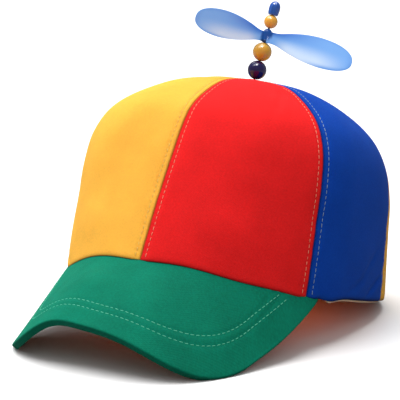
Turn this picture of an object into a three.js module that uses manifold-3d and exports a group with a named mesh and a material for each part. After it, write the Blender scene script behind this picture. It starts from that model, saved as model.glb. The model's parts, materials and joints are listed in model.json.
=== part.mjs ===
// Propeller beanie: a six-panel cloth cap with a curved visor and a spinning propeller on a beaded stem.
// Units are millimetres and degrees. The cap is drawn in its own frame and then laid on the surface:
// +Z up, the visor toward -Y, the wearer's left toward +X, and the origin at the bottom centre of its box.
import * as THREE from "three";
import { mergeVertices } from "three/addons/utils/BufferGeometryUtils.js";
import Module from "manifold-3d";

const manifold = await Module();
manifold.setup();

// Clearances
const GAP = 0.3;
const SPIN_CLEARANCE = 0.3;

// Small steps for slopes and searches, and the distance within which corners are one
const ANGLE_STEP = 0.5;
const SHARE_STEP = 0.005;
const PLAN_STEP = 0.1;
const SAME_CORNER = 1e-4;

// Crown, in the cap frame: the rim plane is z = 0 and its widest line is y = 0
const CROWN_HALF_WIDTH = 86.5;
const CROWN_FRONT_REACH = 78;
const CROWN_BACK_REACH = 120.5;
const APEX_SETBACK = 20;
const CROWN_HEIGHT = 120.5;
const FRONT_RIM_POWER = 1.8;
const BACK_RIM_POWER = 2.75;
const FRONT_BLEND_POWER = 4;
const BACK_BLEND_POWER = 2;
const BACK_HEM_RISE = 9;
const HEM_RISE_START = 90;
const HEM_FADE_ANGLE = 10;
const CLOTH_WALL = 2;

// Slow waves of the visor's joint and the hem beside it: their angle toward the wearer's left, spread and
// share of the height, and how far beyond the rim they fade from the visor, as a share of the rim's reach
const JOINT_WAVE_HEIGHT = 2.8;
const JOINT_WAVES = [
  { angle: 0, angleSpread: 28, rise: -0.65 },
  { angle: 54, angleSpread: 15, rise: 1 },
  { angle: 78, angleSpread: 11, rise: -1.3 },
  { angle: -81, angleSpread: 10, rise: -0.7 },
];
const JOINT_WAVE_FADE = 0.3;

// Height and reach of the crown's outline as shares of its height and of its rim, from the rim to the apex
const CROWN_PROFILE = [
  { height: 0, front: 1, side: 1, back: 1 },
  { height: 0.17, front: 0.945, side: 1.003, back: 0.95 },
  { height: 0.34, front: 0.89, side: 0.998, back: 0.91 },
  { height: 0.5, front: 0.828, side: 0.998, back: 0.845 },
  { height: 0.65, front: 0.766, side: 0.965, back: 0.745 },
  { height: 0.78, front: 0.685, side: 0.86, back: 0.625 },
  { height: 0.885, front: 0.522, side: 0.658, back: 0.497 },
  { height: 0.96, front: 0.318, side: 0.394, back: 0.325 },
  { height: 1, front: 0, side: 0, back: 0 },
];

// Seams run from the rim to the apex, and the cloth dips beside them
const SIDE_SEAM_ANGLE = 69;
const BACK_SEAM_ANGLE = 120;
const SEAM_DIP = 0.7;
const SEAM_DIP_WIDTH = 3.5;
const SEAM_DIP_END_POWER = 8;

// Soft dents and swells of the cloth: where they lie, how far they spread, and their depth as a share
const DENT_DEPTH = 1.4;
const DENTS = [
  { angle: 50, up: 0.8, angleSpread: 9, upSpread: 0.09, depth: 1 },
  { angle: 108, up: 0.1, angleSpread: 6, upSpread: 0.12, depth: 0.65 },
  { angle: -30, up: 0.14, angleSpread: 22, upSpread: 0.07, depth: -0.55 },
  { angle: 28, up: 0.16, angleSpread: 24, upSpread: 0.07, depth: -0.55 },
];

// Panels by name, with the seams on each side of them and their cloth
const RED_CLOTH = 0xd8262a;
const YELLOW_CLOTH = 0xf6b445;
const BLUE_CLOTH = 0x0f3886;
const GREEN_CLOTH = 0x0f6e52;
const PEACH_CLOTH = 0xeec9a4;
const PANELS = [
  { name: "front_left_panel", from: 0, to: SIDE_SEAM_ANGLE, colour: RED_CLOTH },
  { name: "side_left_panel", from: SIDE_SEAM_ANGLE, to: BACK_SEAM_ANGLE, colour: BLUE_CLOTH },
  { name: "back_left_panel", from: BACK_SEAM_ANGLE, to: 180, colour: YELLOW_CLOTH },
  { name: "back_right_panel", from: 180, to: 360 - BACK_SEAM_ANGLE, colour: RED_CLOTH },
  { name: "side_right_panel", from: 360 - BACK_SEAM_ANGLE, to: 360 - SIDE_SEAM_ANGLE, colour: BLUE_CLOTH },
  { name: "front_right_panel", from: 360 - SIDE_SEAM_ANGLE, to: 360, colour: YELLOW_CLOTH },
];
const PANEL_COLUMNS = [0, 0.04, 0.12, 0.22, 0.33, 0.44, 0.56, 0.67, 0.78, 0.88, 0.96, 1];
const PANEL_ROWS = 16;

// Visor: an arched board sewn under the front of the rim, with a swell of its front toward the wearer's
// right, whose place and spread are shares of the half width
const VISOR_REACH = 45;
const VISOR_HALF_WIDTH = 78.5;
const VISOR_END_ANGLE = 75;
const VISOR_CENTRE_RISE = 5.2;
const VISOR_SLOPE = 0.89;
const VISOR_BEND_POWER = 2.3;
const VISOR_BEND_SPREAD = 0.0048;
const VISOR_SWELL = 3.5;
const VISOR_SWELL_PLACE = -0.3;
const VISOR_SWELL_SPREAD = 0.25;
const VISOR_CORNER_POWER = 2.6;
const VISOR_THICKNESS = 3.6;
const VISOR_END_THICKNESS = 2;
const VISOR_EDGE_ROUNDING = 1;
const VISOR_END_DRAW_IN = 0.25;
const VISOR_END_THINNING = 0.2;
const VISOR_COLUMNS = 40;
const VISOR_ROWS = 7;

// Sweatband: a strip inside the rim that shows a little below the hem at the sides
const BAND_HEIGHT = 30;
const BAND_THICKNESS = 1.4;
const BAND_PEEK = 1.6;
const BAND_COLUMNS = 60;
const BAND_ROWS = 3;

// Stem: a wire from a washer inside the crown up into the top bead
const STEM_RADIUS = 0.6;
const STEM_LEAN_BACK = 2;
const STEM_LEAN_SIDE = 7.7;
const WASHER_RADIUS = 5;
const WASHER_THICKNESS = 0.9;
const WASHER_MARGIN = 1;
const ROUND_SIDES = 16;

// Beads and the propeller's hub, from the crown upward
const LOWER_BEAD_RADIUS = 5.4;
const UPPER_BEAD_RADIUS = 3.7;
const BEAD_RINGS = 9;
const HUB_HEIGHT = 8.2;
const HUB_PLAY = 0.8;
const TOP_BEAD_HEIGHT = 8.4;
const TOP_BEAD_RADIUS = 3.1;
const TOP_BEAD_BORE_DEPTH = 5;
const TOP_BEAD_SIDES = 8;
const TOP_BEAD_PROFILE = [
  { up: 0, radius: 0.8 },
  { up: 0.1, radius: 0.93 },
  { up: 0.55, radius: 1 },
  { up: 0.8, radius: 0.82 },
  { up: 0.94, radius: 0.5 },
  { up: 1, radius: 0 },
];

// Hub outline as shares of its height and of its collar radius
const HUB_COLLAR_RADIUS = 2.7;
const HUB_PROFILE = [
  { up: 0, radius: 0.85 },
  { up: 0.04, radius: 1 },
  { up: 0.14, radius: 1 },
  { up: 0.2, radius: 0.84 },
  { up: 0.7, radius: 0.8 },
  { up: 0.9, radius: 0.66 },
  { up: 1, radius: 0.5 },
];

// Propeller blades: the blade on the wearer's left is a little longer and wider, as the photograph shows
const LEFT_BLADE_LENGTH = 53;
const LEFT_BLADE_WIDTH = 23.5;
const RIGHT_BLADE_LENGTH = 43.5;
const RIGHT_BLADE_WIDTH = 19;
const BLADE_THICKNESS = 1.3;
const BLADE_EDGE_SHARE = 0.45;
const BLADE_HEADING = 37;
const BLADE_ROOT_OFFSET = 1.3;
const BLADE_ROOT_RUN = 0.25;
const BLADE_LIFT = 0.42;
const BLADE_OUTLINE = [
  { along: 0, width: 0.34, pitch: 64 },
  { along: 0.12, width: 0.37, pitch: 62 },
  { along: 0.28, width: 0.65, pitch: 58 },
  { along: 0.44, width: 0.88, pitch: 55 },
  { along: 0.62, width: 1, pitch: 53 },
  { along: 0.78, width: 0.95, pitch: 52 },
  { along: 0.89, width: 0.78, pitch: 51 },
  { along: 0.96, width: 0.52, pitch: 50 },
  { along: 1, width: 0.18, pitch: 50 },
];
const BLADE_STATIONS = 16;
const BLADE_CHORDS = [-1, -0.86, -0.45, 0, 0.45, 0.86, 1];

// Resting: how much of the cloth is pressed flat where the cap meets the surface
const REST_FLAT = 0.5;
const TILT_LIMIT = 45;
const TILT_ROUNDS = 40;

const radians = THREE.MathUtils.degToRad;
const smoothStep = (t) => THREE.MathUtils.smoothstep(t, 0, 1);

// A table's column at a place counted in rows, on a smooth curve through its values
function tableValue(table, column, place) {
  const row = Math.min(Math.floor(place), table.length - 2);
  const value = (index) => {
    if (index < 0) return 2 * table[0][column] - table[1][column];
    if (index >= table.length) {
      const last = table.length - 1;
      return 2 * table[last][column] - table[last - 1][column];
    }
    return table[index][column];
  };
  const t = place - row;
  const start = value(row);
  const end = value(row + 1);
  const startSlope = (end - value(row - 1)) / 2;
  const endSlope = (value(row + 2) - start) / 2;
  const bend = 2 * start - 2 * end + startSlope + endSlope;
  const lift = -3 * start + 3 * end - 2 * startSlope - endSlope;
  return ((bend * t + lift) * t + startSlope) * t + start;
}

// Outer rim in plan, at an angle from the front toward the wearer's left
function rimPoint(angle) {
  const across = Math.sin(radians(angle));
  const ahead = Math.cos(radians(angle));
  const power = ahead > 0 ? FRONT_RIM_POWER : BACK_RIM_POWER;
  const reach = ahead > 0 ? CROWN_FRONT_REACH : CROWN_BACK_REACH;
  const spread = (Math.abs(across) ** power + Math.abs(ahead) ** power) ** (-1 / power);
  return new THREE.Vector3(CROWN_HALF_WIDTH * across * spread, -reach * ahead * spread, 0);
}

const visorEnd = rimPoint(VISOR_END_ANGLE);
const endRise = VISOR_CENTRE_RISE + VISOR_SLOPE * (visorEnd.y + CROWN_FRONT_REACH);
const visorCamber = endRise / (visorEnd.x / VISOR_HALF_WIDTH) ** VISOR_BEND_POWER;

// Height of the visor's plain arch over a point of the plan; it reaches the rim plane at the visor's ends
function archHeight(x, y) {
  const rise = VISOR_CENTRE_RISE + VISOR_SLOPE * (y + CROWN_FRONT_REACH);
  const bend = (Math.abs(x) / VISOR_HALF_WIDTH) ** VISOR_BEND_POWER;
  const spread = 1 - VISOR_BEND_SPREAD * (y - visorEnd.y);
  return rise - visorCamber * bend * spread;
}

// Rise of the joint's waves at a point of the plan, by its angle toward the wearer's left
function jointWave(x, y) {
  const angle = Math.atan2(x / CROWN_HALF_WIDTH, -y / CROWN_FRONT_REACH) * THREE.MathUtils.RAD2DEG;
  let rise = 0;
  for (const wave of JOINT_WAVES) {
    const off = (angle - wave.angle) / wave.angleSpread;
    rise += JOINT_WAVE_HEIGHT * wave.rise * Math.exp(-off * off);
  }
  return rise;
}

// Height of the visor's top face: the arch with the joint's waves, which fade away from the rim as the swell
// grows
function visorHeight(x, y) {
  const across = (Math.abs(x) / CROWN_HALF_WIDTH) ** FRONT_RIM_POWER;
  const ahead = (Math.max(-y, 0) / CROWN_FRONT_REACH) ** FRONT_RIM_POWER;
  const beyond = (across + ahead) ** (1 / FRONT_RIM_POWER) - 1;
  const forward = smoothStep(beyond / JOINT_WAVE_FADE);
  const off = (x / VISOR_HALF_WIDTH - VISOR_SWELL_PLACE) / VISOR_SWELL_SPREAD;
  return archHeight(x, y) + jointWave(x, y) * (1 - forward) + VISOR_SWELL * Math.exp(-off * off) * forward;
}

const angleFromFront = (angle) => Math.abs(((angle + 180) % 360 + 360) % 360 - 180);
const SEWN_CLEARANCE = GAP * Math.hypot(1, VISOR_SLOPE);
const endAhead = rimPoint(VISOR_END_ANGLE + ANGLE_STEP).sub(rimPoint(VISOR_END_ANGLE - ANGLE_STEP));
const endInward = new THREE.Vector3(-endAhead.y, endAhead.x, 0).normalize();

// Height of the crown's lower edge: on the visor in front, and a hem that rises toward the back
function hemHeight(x, y, angle) {
  const away = angleFromFront(angle);
  if (away <= VISOR_END_ANGLE) return visorHeight(x, y) + SEWN_CLEARANCE;
  const rising = BACK_HEM_RISE * smoothStep((away - HEM_RISE_START) / (180 - HEM_RISE_START));
  const leaving = smoothStep((away - VISOR_END_ANGLE) / HEM_FADE_ANGLE);
  if (leaving === 1) return rising + jointWave(x, y);
  const rim = rimPoint(angle);
  const seat = visorEnd.clone().addScaledVector(endInward, Math.hypot(x - rim.x, y - rim.y));
  return (archHeight(seat.x, seat.y) + SEWN_CLEARANCE) * (1 - leaving) + rising + jointWave(x, y);
}

const stemLean = new THREE.Vector3(Math.tan(radians(STEM_LEAN_SIDE)), Math.tan(radians(STEM_LEAN_BACK)), 1);
const stemDirection = stemLean.clone().normalize();
const apex = new THREE.Vector3(0, APEX_SETBACK, CROWN_HEIGHT);
const STEM_HOLE = STEM_RADIUS + GAP + CLOTH_WALL * Math.hypot(stemLean.x, stemLean.y);

// Crown's outer face at an angle and at a share of the way from the rim to the stem's hole
function crownFace(angle, share) {
  const place = share * (CROWN_PROFILE.length - 1);
  const ahead = Math.cos(radians(angle));
  const side = tableValue(CROWN_PROFILE, "side", place);
  const end = tableValue(CROWN_PROFILE, ahead > 0 ? "front" : "back", place);
  const blend = Math.abs(ahead) ** (ahead > 0 ? FRONT_BLEND_POWER : BACK_BLEND_POWER);
  const reach = side + (end - side) * blend;
  const rim = rimPoint(angle);
  const holeShare = STEM_HOLE / Math.hypot(rim.x, rim.y - APEX_SETBACK);
  const out = holeShare + (1 - holeShare) * reach;
  const rimHeight = hemHeight(rim.x, rim.y, angle);
  const up = tableValue(CROWN_PROFILE, "height", place);
  return new THREE.Vector3(
    rim.x * out,
    APEX_SETBACK + (rim.y - APEX_SETBACK) * out,
    rimHeight + (CROWN_HEIGHT - rimHeight) * up,
  );
}

// Outward direction of the crown's face
function crownNormal(angle, share) {
  const low = Math.max(share - SHARE_STEP, 0);
  const high = Math.min(share + SHARE_STEP, 1);
  const around = crownFace(angle + ANGLE_STEP, share).sub(crownFace(angle - ANGLE_STEP, share));
  const up = crownFace(angle, high).sub(crownFace(angle, low));
  return around.cross(up).normalize();
}

// Sum of the soft dents at a place of the crown
function dentDepth(angle, share) {
  const signedAngle = ((angle + 180) % 360 + 360) % 360 - 180;
  let depth = 0;
  for (const dent of DENTS) {
    const across = (signedAngle - dent.angle) / dent.angleSpread;
    const up = (share - dent.up) / dent.upSpread;
    depth += DENT_DEPTH * dent.depth * Math.exp(-across * across - up * up);
  }
  return depth;
}

// A point of the crown's cloth, a depth below its smooth outer face
function crownPoint(angle, share, depth) {
  const normal = crownNormal(angle, share);
  const point = crownFace(angle, share);
  if (share > 0) return point.addScaledVector(normal, -depth);
  const inward = new THREE.Vector2(normal.x, normal.y).normalize().multiplyScalar(-depth);
  point.x += inward.x;
  point.y += inward.y;
  point.z = hemHeight(point.x, point.y, angle);
  return point;
}

// Turn from a seam that keeps a distance to it all the way up to the apex
function turnForDistance(seamAngle, share, distance) {
  const here = crownFace(seamAngle, share);
  const along = new THREE.Vector2(here.x, here.y - APEX_SETBACK).normalize();
  const ahead = crownFace(seamAngle + ANGLE_STEP, share).sub(crownFace(seamAngle - ANGLE_STEP, share));
  const sideways = Math.abs(along.x * ahead.y - along.y * ahead.x) / (2 * ANGLE_STEP);
  return distance / sideways;
}

// A closed body through sections, each with an upper and a lower row of points
function loftSections(sections, closed) {
  const width = sections[0].upper.length;
  const points = sections.flatMap((section) => [...section.upper, ...section.lower]);
  const upper = (section, index) => (section % sections.length) * 2 * width + index;
  const lower = (section, index) => upper(section, index) + width;
  const triangles = [];
  const quad = (a, b, c, d) => triangles.push(a, b, c, a, c, d);
  const spans = closed ? sections.length : sections.length - 1;
  for (let s = 0; s < spans; s++) {
    for (let i = 0; i < width - 1; i++) {
      quad(upper(s, i), upper(s + 1, i), upper(s + 1, i + 1), upper(s, i + 1));
      quad(lower(s, i), lower(s, i + 1), lower(s + 1, i + 1), lower(s + 1, i));
    }
    quad(upper(s, 0), lower(s, 0), lower(s + 1, 0), upper(s + 1, 0));
    quad(upper(s, width - 1), upper(s + 1, width - 1), lower(s + 1, width - 1), lower(s, width - 1));
  }
  if (!closed) {
    const last = sections.length - 1;
    for (let i = 0; i < width - 1; i++) {
      quad(upper(0, i), upper(0, i + 1), lower(0, i + 1), lower(0, i));
      quad(upper(last, i), lower(last, i), lower(last, i + 1), upper(last, i + 1));
    }
  }
  return facingOut(points.flatMap((point) => point.toArray()), triangles);
}

// A geometry whose faces point outward
function facingOut(positions, triangles) {
  const corner = (index) => new THREE.Vector3().fromArray(positions, 3 * index);
  let volume = 0;
  for (let t = 0; t < triangles.length; t += 3) {
    const first = corner(triangles[t]);
    volume += first.dot(corner(triangles[t + 1]).cross(corner(triangles[t + 2])));
  }
  const index = [...triangles];
  if (volume < 0) {
    for (let t = 0; t < index.length; t += 3) {
      [index[t], index[t + 1]] = [index[t + 1], index[t]];
    }
  }
  const geometry = new THREE.BufferGeometry();
  geometry.setAttribute("position", new THREE.Float32BufferAttribute(positions, 3));
  geometry.setIndex(index);
  return geometry;
}

// A three.js geometry with its shared corners joined
function joined(geometry) {
  const plain = geometry.clone();
  plain.deleteAttribute("normal");
  plain.deleteAttribute("uv");
  const merged = mergeVertices(plain, SAME_CORNER);
  const positions = Array.from(merged.attributes.position.array);
  const triangles = [];
  const index = merged.index.array;
  for (let t = 0; t < index.length; t += 3) {
    const [a, b, c] = index.slice(t, t + 3);
    if (a !== b && b !== c && c !== a) triangles.push(a, b, c);
  }
  return facingOut(positions, triangles);
}

function toManifold(geometry) {
  const mesh = new manifold.Mesh({
    numProp: 3,
    vertProperties: new Float32Array(geometry.attributes.position.array),
    triVerts: new Uint32Array(geometry.index.array),
  });
  return new manifold.Manifold(mesh);
}

function fromManifold(solid) {
  const mesh = solid.getMesh();
  const geometry = new THREE.BufferGeometry();
  geometry.setAttribute("position", new THREE.Float32BufferAttribute(mesh.vertProperties, 3));
  geometry.setIndex(Array.from(mesh.triVerts));
  return geometry;
}

// A round body from its outline: rows of radius and height, drawn about +Z
function roundBody(outline, sides) {
  const profile = outline.map(([radius, up]) => new THREE.Vector2(radius, up));
  return joined(new THREE.LatheGeometry(profile, sides).rotateX(Math.PI / 2));
}

// A plain round rod about +Z
function rod(radius, low, high) {
  return roundBody([[0, low], [radius, low], [radius, high], [0, high]], ROUND_SIDES);
}

// One cloth panel between two seams
function panelGeometry(panel) {
  const sections = PANEL_COLUMNS.map((column) => {
    const upper = [];
    const lower = [];
    for (let row = 0; row <= PANEL_ROWS; row++) {
      const share = row / PANEL_ROWS;
      const first = panel.from + turnForDistance(panel.from, share, GAP / 2);
      const last = panel.to - turnForDistance(panel.to, share, GAP / 2);
      const angle = first + (last - first) * column;
      const fromSeam = Math.min(angle - panel.from, panel.to - angle);
      const seamAngle = angle - panel.from < panel.to - angle ? panel.from : panel.to;
      const distance = fromSeam / turnForDistance(seamAngle, share, 1);
      const fade = 1 - share ** SEAM_DIP_END_POWER;
      const dip = SEAM_DIP * Math.exp(-((distance / SEAM_DIP_WIDTH) ** 2)) * fade;
      const depth = dip + dentDepth(angle, share);
      upper.push(crownPoint(angle, share, depth));
      lower.push(crownPoint(angle, share, depth + CLOTH_WALL));
    }
    return { upper, lower };
  });
  return loftSections(sections, false);
}

// Deepest that the cloth goes at an angle, so that what lines it stays clear
function liningDepth(angle, share) {
  return CLOTH_WALL + SEAM_DIP + GAP + dentDepth(angle, share);
}

function sweatbandGeometry() {
  const rowsUp = CROWN_PROFILE.length - 1;
  let topShare = 0;
  while (tableValue(CROWN_PROFILE, "height", topShare * rowsUp) * CROWN_HEIGHT < BAND_HEIGHT) {
    topShare += SHARE_STEP;
  }
  const sections = [];
  for (let column = 0; column < BAND_COLUMNS; column++) {
    const angle = (360 * column) / BAND_COLUMNS;
    const peek = BAND_PEEK * Math.abs(Math.sin(radians(angle)));
    const rim = rimPoint(angle);
    const bottom = hemHeight(rim.x, rim.y, angle) - peek;
    const upper = [];
    const lower = [];
    for (let row = 0; row <= BAND_ROWS; row++) {
      const share = (topShare * row) / BAND_ROWS;
      const depth = liningDepth(angle, share);
      const outside = crownPoint(angle, share, depth);
      const inside = crownPoint(angle, share, depth + BAND_THICKNESS);
      if (row === 0) {
        outside.z = bottom;
        inside.z = bottom;
      }
      upper.push(outside);
      lower.push(inside);
    }
    sections.push({ upper, lower });
  }
  return loftSections(sections, true);
}

// Outer edge of the visor in plan, for a place from -1 at one end to 1 at the other
function visorEdge(place) {
  const turn = (place * Math.PI) / 2;
  const power = 2 / VISOR_CORNER_POWER;
  const ahead = Math.abs(Math.cos(turn)) ** power;
  const across = VISOR_HALF_WIDTH * Math.abs(Math.sin(turn)) ** power;
  const drawnIn = smoothStep((Math.abs(place) - 1 + VISOR_END_DRAW_IN) / VISOR_END_DRAW_IN);
  const x = Math.sign(place) * (across + (visorEnd.x - VISOR_HALF_WIDTH) * drawnIn);
  const y = visorEnd.y - (CROWN_FRONT_REACH + VISOR_REACH + visorEnd.y) * ahead;
  return new THREE.Vector3(x, y, 0);
}

// Upward direction of the visor's top face
function visorNormal(x, y) {
  const across = (visorHeight(x + PLAN_STEP, y) - visorHeight(x - PLAN_STEP, y)) / (2 * PLAN_STEP);
  const along = (visorHeight(x, y + PLAN_STEP) - visorHeight(x, y - PLAN_STEP)) / (2 * PLAN_STEP);
  return new THREE.Vector3(-across, -along, 1).normalize();
}

function visorGeometry() {
  const sections = [];
  for (let column = 0; column <= VISOR_COLUMNS; column++) {
    const place = (2 * column) / VISOR_COLUMNS - 1;
    const angle = place * VISOR_END_ANGLE;
    const inner = crownPoint(angle, 0, CLOTH_WALL + SEAM_DIP);
    const outer = visorEdge(place);
    const thinning = smoothStep((Math.abs(place) - 1 + VISOR_END_THINNING) / VISOR_END_THINNING);
    const thickness = VISOR_THICKNESS + (VISOR_END_THICKNESS - VISOR_THICKNESS) * thinning;
    const upper = [];
    const lower = [];
    for (let row = 0; row <= VISOR_ROWS; row++) {
      const share = row / VISOR_ROWS;
      const x = inner.x + (outer.x - inner.x) * share;
      const y = inner.y + (outer.y - inner.y) * share;
      const top = new THREE.Vector3(x, y, visorHeight(x, y));
      const normal = visorNormal(x, y);
      const plumb = new THREE.Vector3(0, 0, 1 / normal.z);
      const through = plumb.lerp(normal, Math.min(1, 2 * share)).multiplyScalar(thickness);
      upper.push(top);
      lower.push(top.clone().sub(through));
    }
    const edgeTop = upper.at(-1);
    const edgeBottom = lower.at(-1);
    const through = edgeTop.clone().sub(edgeBottom);
    const rounding = VISOR_EDGE_ROUNDING / thickness;
    const outward = edgeTop.clone().sub(upper.at(-2)).normalize().multiplyScalar(VISOR_EDGE_ROUNDING);
    if (outer.distanceTo(new THREE.Vector3(inner.x, inner.y, 0)) < CLOTH_WALL + GAP) outward.set(0, 0, 0);
    const edgeOut = edgeTop.clone().addScaledVector(through, -rounding);
    const edgeIn = edgeBottom.clone().addScaledVector(through, rounding);
    upper[upper.length - 1] = edgeTop.clone().sub(outward);
    lower[lower.length - 1] = edgeBottom.clone().sub(outward);
    upper.push(edgeOut);
    lower.push(edgeIn);
    sections.push({ upper, lower });
  }
  return loftSections(sections, false);
}

// Places of the pieces on the stem, as distances along it from the apex
const leanFactor = 1 / stemDirection.z;
const navyBeadPlace = (LOWER_BEAD_RADIUS + GAP) * leanFactor;
const yellowBeadPlace = navyBeadPlace + 2 * LOWER_BEAD_RADIUS + GAP;
const hubPlace = yellowBeadPlace + LOWER_BEAD_RADIUS + GAP;
const upperBeadPlace = hubPlace + HUB_HEIGHT + HUB_PLAY + UPPER_BEAD_RADIUS;
const topBeadPlace = upperBeadPlace + UPPER_BEAD_RADIUS + GAP;
const stemTop = topBeadPlace + TOP_BEAD_BORE_DEPTH - GAP;

// Stem frame: +Z along the stem from the apex, +X toward the wearer's left
function ontoStem(geometry) {
  const turn = new THREE.Quaternion().setFromUnitVectors(new THREE.Vector3(0, 0, 1), stemDirection);
  return geometry.applyQuaternion(turn).translate(apex.x, apex.y, apex.z);
}

function beadGeometry(radius, place) {
  const bore = STEM_RADIUS + GAP;
  const start = Math.asin(bore / radius);
  const outline = [];
  for (let ring = 0; ring <= BEAD_RINGS; ring++) {
    const turn = start + ((Math.PI - 2 * start) * ring) / BEAD_RINGS;
    outline.push([radius * Math.sin(turn), place - radius * Math.cos(turn)]);
  }
  outline.push(outline[0]);
  return ontoStem(roundBody(outline, ROUND_SIDES));
}

function topBeadGeometry() {
  const bore = STEM_RADIUS + GAP;
  const outline = [
    [0, topBeadPlace + TOP_BEAD_BORE_DEPTH],
    [bore, topBeadPlace + TOP_BEAD_BORE_DEPTH],
    [bore, topBeadPlace],
  ];
  for (const row of TOP_BEAD_PROFILE) {
    outline.push([TOP_BEAD_RADIUS * row.radius, topBeadPlace + TOP_BEAD_HEIGHT * row.up]);
  }
  return ontoStem(roundBody(outline, TOP_BEAD_SIDES));
}

// The washer lies flat under the crown's cloth, and the wire leans out of it through the stem's hole
function stemGeometry() {
  let ceiling = CROWN_HEIGHT;
  for (let side = 0; side < ROUND_SIDES; side++) {
    const angle = (360 * side) / ROUND_SIDES;
    for (let share = 1; share > 0; share -= SHARE_STEP) {
      const point = crownPoint(angle, share, CLOTH_WALL + SEAM_DIP);
      ceiling = Math.min(ceiling, point.z - GAP);
      if (Math.hypot(point.x, point.y - APEX_SETBACK) > WASHER_RADIUS + WASHER_MARGIN) break;
    }
  }
  const floor = ceiling - WASHER_THICKNESS;
  const washer = rod(WASHER_RADIUS, floor, ceiling).translate(apex.x, apex.y, 0);
  const start = (floor + WASHER_THICKNESS / 2 - CROWN_HEIGHT) * leanFactor;
  const wire = ontoStem(rod(STEM_RADIUS, start, stemTop));
  return fromManifold(toManifold(washer).add(toManifold(wire)));
}

// One blade out from the stem's axis, with its face turned up from the spin plane, then turned into place
function bladeGeometry(length, width, turn) {
  const places = BLADE_OUTLINE.length - 1;
  const sections = [];
  for (let station = 0; station <= BLADE_STATIONS; station++) {
    const place = (places * station) / BLADE_STATIONS;
    const along = tableValue(BLADE_OUTLINE, "along", place);
    const pitch = radians(tableValue(BLADE_OUTLINE, "pitch", place));
    const halfWidth = (width * tableValue(BLADE_OUTLINE, "width", place)) / 2;
    const rootFade = 1 - smoothStep(along / BLADE_ROOT_RUN);
    const centre = new THREE.Vector3(
      length * along,
      -BLADE_ROOT_OFFSET * rootFade,
      hubPlace + HUB_HEIGHT * BLADE_LIFT,
    );
    const chord = new THREE.Vector3(0, Math.cos(pitch), Math.sin(pitch));
    const face = new THREE.Vector3(0, -Math.sin(pitch), Math.cos(pitch));
    const upper = [];
    const lower = [];
    for (const across of BLADE_CHORDS) {
      const fullness = BLADE_EDGE_SHARE + (1 - BLADE_EDGE_SHARE) * Math.sqrt(1 - across * across);
      const middle = centre.clone().addScaledVector(chord, across * halfWidth);
      upper.push(middle.clone().addScaledVector(face, (BLADE_THICKNESS * fullness) / 2));
      lower.push(middle.clone().addScaledVector(face, (-BLADE_THICKNESS * fullness) / 2));
    }
    sections.push({ upper, lower });
  }
  return loftSections(sections, false).rotateZ(radians(turn));
}

function propellerGeometry() {
  const bore = STEM_RADIUS + SPIN_CLEARANCE;
  const outline = [[0, hubPlace]];
  for (const row of HUB_PROFILE) {
    outline.push([HUB_COLLAR_RADIUS * row.radius, hubPlace + HUB_HEIGHT * row.up]);
  }
  outline.push([0, hubPlace + HUB_HEIGHT]);
  const hub = toManifold(roundBody(outline, ROUND_SIDES));
  const leftBlade = toManifold(bladeGeometry(LEFT_BLADE_LENGTH, LEFT_BLADE_WIDTH, BLADE_HEADING));
  const rightBlade = toManifold(bladeGeometry(RIGHT_BLADE_LENGTH, RIGHT_BLADE_WIDTH, BLADE_HEADING + 180));
  const hole = toManifold(rod(bore, hubPlace - HUB_HEIGHT, hubPlace + 2 * HUB_HEIGHT));
  return ontoStem(fromManifold(hub.add(leftBlade).add(rightBlade).subtract(hole)));
}

// Lowest point of a geometry once the cap leans back by an angle
function lowestPoint(geometry, tilt) {
  const position = geometry.attributes.position;
  let lowest = Infinity;
  for (let i = 0; i < position.count; i++) {
    const height = position.getZ(i) * Math.cos(tilt) - position.getY(i) * Math.sin(tilt);
    lowest = Math.min(lowest, height);
  }
  return lowest;
}

const cloth = (color) => ({ color, roughness: 0.9, metalness: 0 });
const pieces = PANELS.map((panel) => ({
  name: panel.name,
  geometry: panelGeometry(panel),
  material: cloth(panel.colour),
}));
const visorPiece = {
  name: "visor",
  geometry: visorGeometry(),
  material: cloth(GREEN_CLOTH),
};
pieces.push(visorPiece, {
  name: "sweatband",
  geometry: sweatbandGeometry(),
  material: cloth(PEACH_CLOTH),
}, {
  name: "stem",
  geometry: stemGeometry(),
  material: { color: 0x2b2d33, roughness: 0.4, metalness: 0.8 },
}, {
  name: "lower_navy_bead",
  geometry: beadGeometry(LOWER_BEAD_RADIUS, navyBeadPlace),
  material: { color: 0x14143c, roughness: 0.15, metalness: 0 },
}, {
  name: "lower_yellow_bead",
  geometry: beadGeometry(LOWER_BEAD_RADIUS, yellowBeadPlace),
  material: { color: 0xe0a52e, roughness: 0.25, metalness: 0 },
}, {
  name: "propeller",
  geometry: propellerGeometry(),
  material: { color: 0x86b2ee, roughness: 0.3, metalness: 0 },
}, {
  name: "upper_yellow_bead",
  geometry: beadGeometry(UPPER_BEAD_RADIUS, upperBeadPlace),
  material: { color: 0xf2ae3a, roughness: 0.25, metalness: 0 },
}, {
  name: "top_blue_bead",
  geometry: topBeadGeometry(),
  material: { color: 0x1450a8, roughness: 0.2, metalness: 0 },
});

// The cap leans back until the visor's corners and the back of the crown stand on one surface
const crownPieces = pieces.filter((piece) => piece.name.endsWith("panel") || piece.name === "sweatband");
let leastTilt = 0;
let mostTilt = radians(TILT_LIMIT);
for (let round = 0; round < TILT_ROUNDS; round++) {
  const tilt = (leastTilt + mostTilt) / 2;
  const hemLow = Math.min(...crownPieces.map((piece) => lowestPoint(piece.geometry, tilt)));
  if (lowestPoint(visorPiece.geometry, tilt) < hemLow) leastTilt = tilt;
  else mostTilt = tilt;
}
const restTilt = leastTilt;
const restLevel = lowestPoint(visorPiece.geometry, restTilt) + REST_FLAT;

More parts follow.
